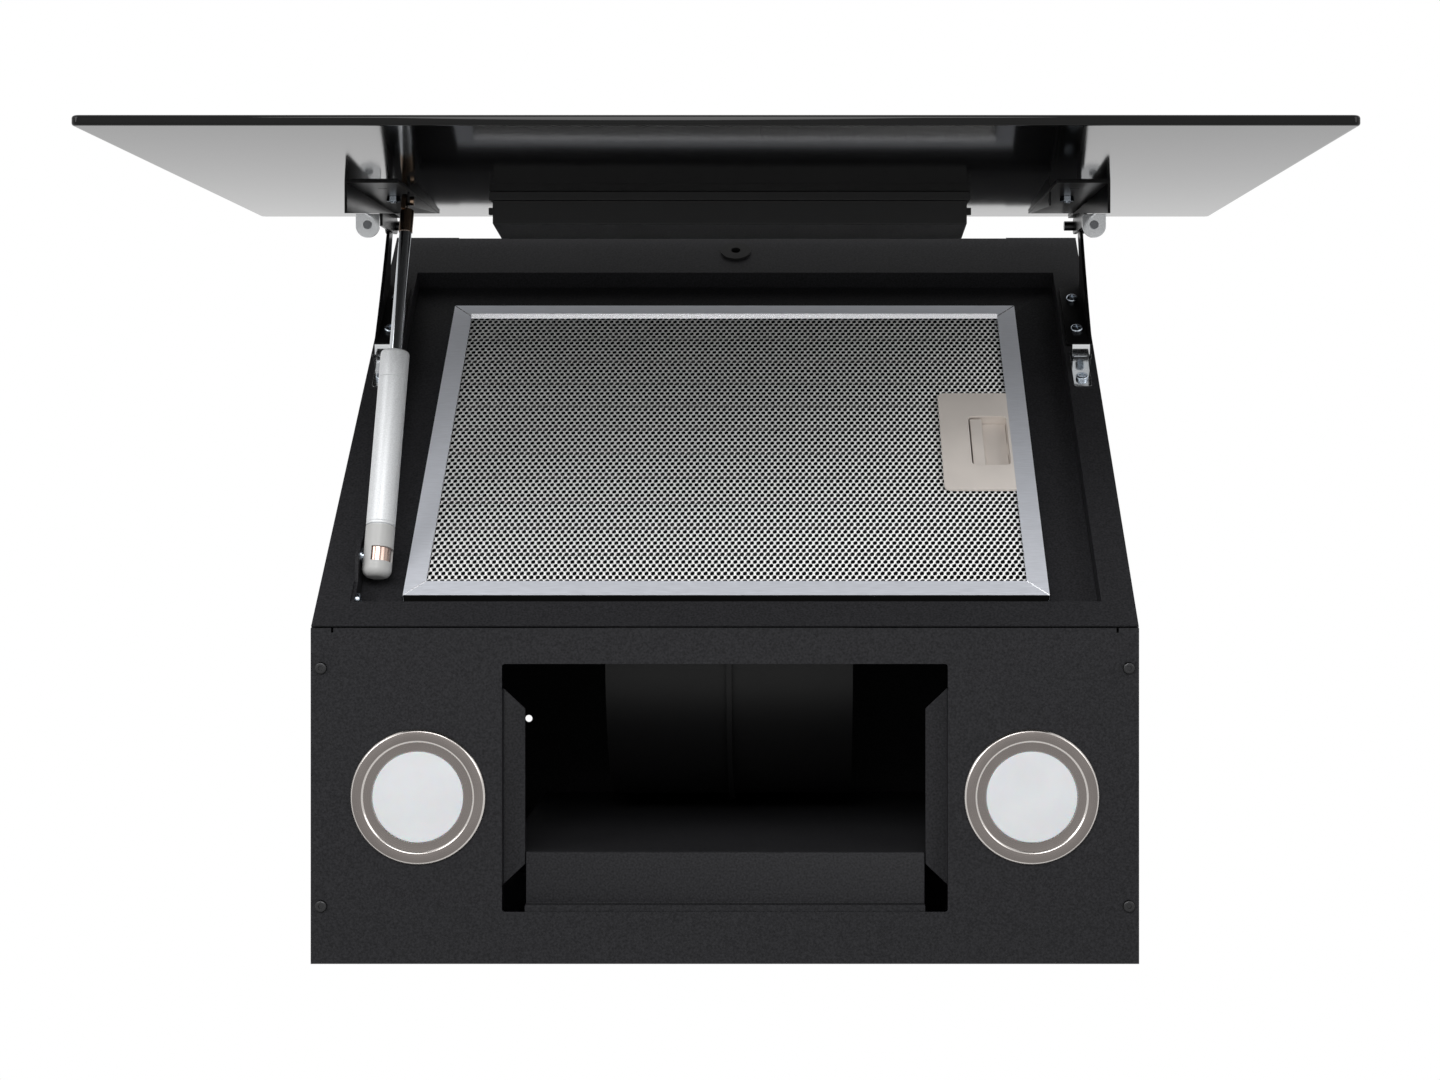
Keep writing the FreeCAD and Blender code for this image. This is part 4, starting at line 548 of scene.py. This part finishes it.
class HOOD_OT_filter(bpy.types.Operator):
    """Expand the filter's metal face and finish its frame"""
    bl_idname = "hood.filter"
    bl_label = "Grease filter"

    def execute(self, context):
        rail_look = brushed("mill_aluminium_rail", tuple(colours().filter_metal), 0.5, (0.08, 1.0, 1.0),
                            metallic=0.3)
        rails = finish("filter_frame", rail_look, sizes().edge / MM).data
        # Painted shadow: the frame's lower side wall gets a black material that stands in for the shade it
        # lies in
        down_slope = of_faces(rails, "normal") @ -ALONG > 0.7
        up_slope = (of_faces(rails, "center") - np.array([0, INCLINE_FOOT_Y, LAMP_PANEL_Z])) @ ALONG
        second_look(rails, moulded("painted_shadow_lower_wall", linear("#101010"), 0.7, specular=0.2),
                    down_slope & (up_slope < FILTER_START + MM))
        add_sheared_edges()
        weave_look = brushed("expanded_aluminium", tuple(colours().weave), 0.3, ROUND, metallic=0.4)
        last = int((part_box("filter_mesh_front")[1].x / (sizes().mesh_across / 2)) - 0.5)
        for name, numbers in (("filter_weave_left", np.arange(-last, 1)),
                              ("filter_weave_right", np.arange(1, last + 1))):
            mesh = expanded_metal(name, numbers)
            mesh.materials.append(weave_look)
            place_piece(name, mesh, "grease_filter", "filter_aluminium", "filter_mesh_front")
        finish("filter_mesh_core", brushed("shadowed_inner_mesh", linear("#0e0e10"), 0.5, ROUND, 2.5))
        return {"FINISHED"}


def add_sheared_edges():
    """The top rail's inner edge, folded down to the mesh, and the sheared edges of the four mitres."""
    look = brushed("bright_sheared_edge", linear("#dcdde0"), 0.25, (0.08, 1.0, 1.0), metallic=0.9)
    half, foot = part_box("filter_frame")[1].x, FILTER_START
    top, rail = FILTER_START + FILTER_LENGTH, FILTER_RAIL
    fold = [((rail - half, top - rail), (half - rail, top - rail))]
    mitres = [((x, t), (x - math.copysign(rail, x), t + inwards))
              for x in (-half, half) for t, inwards in ((foot, rail), (top, -rail))]
    for name, lines, section in (("filter_lip", fold, LIP_SECTION),
                                 ("filter_mitres", mitres, MITRE_SECTION)):
        mesh = rail_bars(name, lines, section)
        mesh.materials.append(look)
        place_piece(name, mesh, "grease_filter", "filter_aluminium")


def rail_bars(name, lines, section):
    """Bars of one three-cornered section on the frame, from a start to an end, both (x, up the slope).

    A corner is a bar's end, plus its place across the bar in the frame's plane, and out of the plane.
    """
    lines, section = np.array(lines), np.array(section) * MM
    run = lines[:, 1] - lines[:, 0]
    run = run / np.linalg.norm(run, axis=1)[:, None]
    across = np.stack([-run[:, 1], run[:, 0]], -1)
    flat = lines[:, :, None, :] + section[None, None, :, 0, None] * across[:, None, None, :]
    height = np.broadcast_to(FILTER_FACE_H + section[:, 1], flat.shape[:3])
    points = on_incline(flat[..., 0], flat[..., 1], height).reshape(-1, 3)
    faces = [(0, 3, 4, 1), (1, 4, 5, 2), (2, 5, 3, 0), (0, 1, 2), (5, 4, 3)]
    faces = [tuple(6 * bar + corner for corner in face) for bar in range(len(lines)) for face in faces]
    mesh = bpy.data.meshes.new(name)
    mesh.from_pydata(points.tolist(), [], faces)
    merge(mesh, outwards=True)
    return mesh


def strand_runs(numbers):
    """Where each strand of the mesh runs: its place across, its number, and its ends up the slope."""
    start, end = FILTER_START + MESH_INSET, FILTER_START + FILTER_LENGTH - MESH_INSET
    cup_x, cup_start, cup_end = LATCH_CUP
    runs = []
    for number in numbers:
        x = number * sizes().mesh_across / 2
        pieces = [(start, cup_start), (cup_end, end)] if x > cup_x else [(start, end)]
        runs += [(x, number, low, high) for low, high in pieces]
    return runs


def expanded_metal(name, numbers):
    """Strands of slit and stretched sheet.

    A strand runs up the slope and swings about a quarter pitch to each side, resting a little at each
    extreme where it is joined to its neighbour, whose swing is the opposite. There it widens to a
    knuckle that rises out of the sheet, and between two knuckles it falls back. Its section is a
    thin rectangle tilted out of the sheet: four corners about the strand's line.
    """
    size = sizes()
    along, swing = size.mesh_along, size.mesh_across * 0.24
    # One pitch: its places along, to which side it swings there, and how it rises at a knuckle's ends
    rest = 0.1
    stops = np.array([-rest, rest, 0.25, 0.5 - rest, 0.5 + rest, 0.75])
    side = np.array([-1.0, -1.0, 0.0, 1.0, 1.0, 0.0])
    rise = np.array([-1.0, 1.0, 0.0, -1.0, 1.0, 0.0]) * size.knuckle_rise
    half_width = np.where(side == 0, size.strand_width, size.knuckle_width)[:, None] / 2
    corner_x = half_width * np.array([-1.0, 1.0, 1.0, -1.0])
    corner_y = size.strand_thickness / 2 * np.array([-1.0, -1.0, 1.0, 1.0])
    tilt = size.strand_tilt
    across_at = corner_x * math.cos(tilt) - corner_y * math.sin(tilt)
    out_at = corner_x * math.sin(tilt) + corner_y * math.cos(tilt)
    all_points, all_faces, count = [], [], 0
    for x, number, start, end in strand_runs(numbers):
        turns = np.arange(math.floor(start / along), math.ceil(end / along) + 1)
        u = ((turns[:, None] + stops[None]) * along).ravel()
        keep = (u > start) & (u < end)
        s, lift, a, o = (np.tile(v, (len(turns),) + (1,) * (v.ndim - 1))[keep]
                         for v in (side * (1 if number % 2 else -1), rise, across_at, out_at))
        u = u[keep]
        ring = on_incline(x + swing * s[:, None] + a, u[:, None], MESH_MIDDLE_H + lift[:, None] + o)
        faces = grid_faces(len(u), 4) + count
        last = count + (len(u) - 1) * 4
        caps = np.array([[count + 3, count + 2, count + 1, count], [last, last + 1, last + 2, last + 3]])
        all_points.append(ring.reshape(-1, 3))
        all_faces += [faces[:, ::-1], caps]
        count += ring.shape[0] * 4
    return make_mesh(name, np.concatenate(all_points), np.concatenate(all_faces), smooth=False)


class HOOD_OT_latch(bpy.types.Operator):
    """Finish the filter's latch and its spring, which gets a mesh of its own"""
    bl_idname = "hood.latch"
    bl_label = "Filter latch"

    def execute(self, context):
        latch = moulded("warm_grey_polypropylene", tuple(colours().latch), 0.5)
        for node in ("filter_latch_plate", "filter_latch_slider"):
            finish(node, latch, sizes().edge / MM)
        spring = finish("filter_latch_spring", plated("spring_wire", linear("#a9a9a9")), 0.0)
        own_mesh(spring)
        return {"FINISHED"}


class HOOD_OT_strut(bpy.types.Operator):
    """Turn the gas strut's barrel, collar and rod, and finish its ends"""
    bl_idname = "hood.strut"
    bl_label = "Gas strut"

    def execute(self, context):
        foot, axis = JOINTS["strut_swing"]["pos_m"], JOINTS["strut_slide"]["axis"]
        paint = metallic_paint("silver_lacquer", tuple(colours().barrel))
        chrome = plated("hard_chromed_rod", linear("#b8bbbf"), 0.08)
        for name, node, profile, look in (("strut_tube", "strut_cylinder", strut_tube(), paint),
                                          ("strut_guide", "strut_collar", strut_guide(), paint),
                                          ("strut_shaft", "strut_rod", strut_shaft(), chrome)):
            mesh = turned_mesh(name, profile, foot, axis, sizes().lathe_steps)
            mesh.materials.append(look)
            place_piece(name, mesh, body_of(frame["nodes"][node])[0], SLOT_OF[node], node)
        finish("strut_end_cap", moulded("light_grey_acetal", tuple(colours().cap), 0.4), 0.4)
        finish("strut_socket", plated("copper_toned_steel", linear("#b39c92"), 0.16), 0.2)
        bronze = plated("yellow_passivated_steel", tuple(colours().bronze), 0.2)
        finish("strut_end_fitting", bronze, 0.3)
        finish("strut_head_stud", bronze, 0.3)
        return {"FINISHED"}


def strut_reach(node):
    """Lowest and highest millimetre of a CAD piece along the strut, from its foot."""
    foot, axis = np.array(JOINTS["strut_swing"]["pos_m"]), np.array(JOINTS["strut_slide"]["axis"])
    mesh = frame["nodes"][node].data
    points = np.empty(len(mesh.vertices) * 3)
    mesh.vertices.foreach_get("co", points)
    heights = (points.reshape(-1, 3) - foot) @ axis / MM
    return heights.min(), heights.max()


def strut_tube():
    """A plain tube, necked where it meets the cap, with a rolled groove just above."""
    low, high = strut_reach("strut_cylinder")
    return [(6.9, low), (7.2, low), (7.2, low + 0.6), (7.75, low + 0.6), (8.0, low + 0.9), (8.0, low + 1.9),
            (7.8, low + 2.2), (8.0, low + 2.5), (8.0, high - 0.3), (7.7, high), (6.9, high)]


def strut_guide():
    """A collar: a neck inside the tube, a seam above it, and a shoulder rounded off towards the rod."""
    low, high = strut_reach("strut_collar")
    seam = low + 4.0
    return [(3.6, low), (6.85, low), (6.85, seam), (7.7, seam), (8.0, seam + 0.3), (8.0, high - 1.6),
            (7.85, high - 0.9), (7.45, high - 0.3), (6.7, high), (3.6, high)]


def strut_shaft():
    """A plain rod with a chamfered piston at its lower end."""
    low, high = strut_reach("strut_rod")
    piston = low + 8.0
    return [(0.0, low), (6.5, low), (6.8, low + 0.3), (6.8, piston - 0.3), (6.5, piston), (3.5, piston),
            (3.5, high), (0.0, high)]


class HOOD_OT_insides(bpy.types.Operator):
    """Finish the blower, the duct collar and the electric parts"""
    bl_idname = "hood.insides"
    bl_label = "Blower and electrics"

    def execute(self, context):
        plastic = moulded("black_polypropylene", tuple(colours().plastic), 0.5, specular=0.35)
        for node in ("scroll_half_left", "scroll_half_right", "outlet_spigot", "flap_front", "flap_rear",
                     "power_box", "power_box_lid", "cable_gland", "impeller"):
            finish(node, plastic)
        finish("motor", brushed("motor_steel_can", linear("#8c8e90"), 0.35, (0.1, 1.0, 1.0)))
        finish("motor_bracket", plated("zinc_plated_bracket", linear("#a9adb1"), 0.35))
        finish("capacitor", moulded("white_capacitor_case", linear("#d8d8d4"), 0.4))
        finish("terminal_block", moulded("cream_polyamide", linear("#d9d4c6"), 0.45))
        return {"FINISHED"}


# ---- The stage ----
FLOOR_Z, FLOOR_REACH, FLOOR_GLOW = -1.75, 12.0, 0.35
WORLD_LIGHT, WORLD_SEEN = 0.55, 1.0
CAMERA_PLACE = (0.0335, -0.2634, LAMP_PANEL_Z - 1.3)
CAMERA_LENS, CAMERA_SHIFT = 61.2, (-0.0472, -0.05)
# Name, place, aim, diameter and power. The low front box stands under the open glass, so the glass
# shades the upper end of the filter as it does in use.
LAMPS = [
    ("softbox_left", (-1.3, -1.0, -1.2), (0.0, -0.25, 0.0), 1.0, 9.0),
    ("softbox_right", (1.3, -0.9, -1.2), (0.0, -0.25, 0.0), 1.0, 5.0),
    ("softbox_front_low", (-0.1, -1.0, -1.45), (0.0, -0.22, -0.08), 0.9, 12.0),
]


class HOOD_OT_stage(bpy.types.Operator):
    """Set the floor, the lights, the world and the camera"""
    bl_idname = "hood.stage"
    bl_label = "Stage"

    def execute(self, context):
        corners = np.array([(x * FLOOR_REACH, y * FLOOR_REACH, FLOOR_Z)
                            for x, y in ((-1, -1), (1, -1), (1, 1), (-1, 1))])
        floor_mesh = make_mesh("floor", corners, np.array([[0, 1, 2, 3]]), smooth=False)
        floor = bpy.data.objects.new("floor", floor_mesh)
        context.scene.collection.objects.link(floor)
        look = surface("pale_floor", {"Roughness": 0.6, "Specular IOR Level": 0.2,
                                      "Emission Color": (1.0, 1.0, 1.0, 1.0)},
                       ((400.0, 2.0, ROUND), linear("#ececeb"), linear("#efefee")))
        # The floor is paler to the camera and in reflections than the light on it makes it
        tree = look.node_tree
        glow = add(tree, "ShaderNodeMath", {0: seen_plainly(tree), 1: FLOOR_GLOW}, operation="MULTIPLY")
        tree.links.new(glow.outputs[0], tree.nodes["Principled BSDF"].inputs["Emission Strength"])
        floor_mesh.materials.append(look)
        for name, where, aim, size, power in LAMPS:
            light = bpy.data.lights.new(name, "AREA")
            light.shape = "DISK"
            light.size = size
            light.energy = power
            lamp = bpy.data.objects.new(name, light)
            lamp.location = where
            lamp.rotation_euler = (Vector(aim) - Vector(where)).to_track_quat("-Z", "Y").to_euler()
            context.scene.collection.objects.link(lamp)
        make_world(context.scene)
        make_camera(context.scene)
        return {"FINISHED"}


def seen_plainly(tree):
    """1 for what the camera sees directly, in a reflection or through glass, else 0."""
    path = add(tree, "ShaderNodeLightPath")
    seen = add(tree, "ShaderNodeMath", {0: path.outputs["Is Camera Ray"], 1: path.outputs["Is Glossy Ray"]},
               operation="MAXIMUM")
    return add(tree, "ShaderNodeMath", {0: seen.outputs[0], 1: path.outputs["Is Transmission Ray"]},
               operation="MAXIMUM").outputs[0]


def make_world(scene):
    """A white surround to the camera and in reflections, and a gentler even light on the object."""
    world = bpy.data.worlds.new("white_studio")
    scene.world = world
    world.use_nodes = True
    tree = world.node_tree
    tree.nodes.clear()
    ambient = add(tree, "ShaderNodeBackground", {"Color": (1, 1, 1, 1), "Strength": WORLD_LIGHT})
    white = add(tree, "ShaderNodeBackground", {"Color": (1, 1, 1, 1), "Strength": WORLD_SEEN})
    both = add(tree, "ShaderNodeMixShader",
               {0: seen_plainly(tree), 1: ambient.outputs[0], 2: white.outputs[0]})
    add(tree, "ShaderNodeOutputWorld", {"Surface": both.outputs[0]})


def make_camera(scene):
    """The photograph's view: from straight below, a little to the right of the middle."""
    camera = bpy.data.cameras.new("camera")
    camera.sensor_width = 36.0
    camera.lens = CAMERA_LENS
    camera.shift_x, camera.shift_y = CAMERA_SHIFT
    camera.clip_end = 50.0
    holder = bpy.data.objects.new("camera", camera)
    holder.location = CAMERA_PLACE
    holder.rotation_euler = (math.pi, 0.0, 0.0)
    scene.collection.objects.link(holder)
    scene.camera = holder
    scene.view_settings.view_transform = "Standard"


STEPS = ("body", "hinges", "glass", "lamps", "filter", "latch", "strut", "insides", "stage")


class HOOD_PT_panel(bpy.types.Panel):
    """The hood's steps and settings"""
    bl_idname = "HOOD_PT_panel"
    bl_label = "Cooker Hood"
    bl_space_type = "VIEW_3D"
    bl_region_type = "UI"
    bl_category = "Cooker Hood"

    def draw(self, context):
        """List the steps, then the sizes and the colours."""
        for step in STEPS:
            self.layout.operator(f"hood.{step}")
        for group in (context.scene.hood_sizes, context.scene.hood_colours):
            for name in group.__annotations__:
                self.layout.prop(group, name)


CLASSES = (HoodColours, HoodSizes, HOOD_OT_body, HOOD_OT_hinges, HOOD_OT_glass, HOOD_OT_lamps,
           HOOD_OT_filter, HOOD_OT_latch, HOOD_OT_strut, HOOD_OT_insides, HOOD_OT_stage, HOOD_PT_panel)


def register():
    """Register the classes and hang the settings on the scene."""
    for item in CLASSES:
        bpy.utils.register_class(item)
    bpy.types.Scene.hood_colours = PointerProperty(type=HoodColours)
    bpy.types.Scene.hood_sizes = PointerProperty(type=HoodSizes)


def unregister():
    """Undo what register does, in reverse."""
    del bpy.types.Scene.hood_sizes
    del bpy.types.Scene.hood_colours
    for item in reversed(CLASSES):
        bpy.utils.unregister_class(item)


def main():
    """Run every step."""
    register()
    for step in STEPS:
        getattr(bpy.ops.hood, step)()


if __name__ == "__main__":
    main()
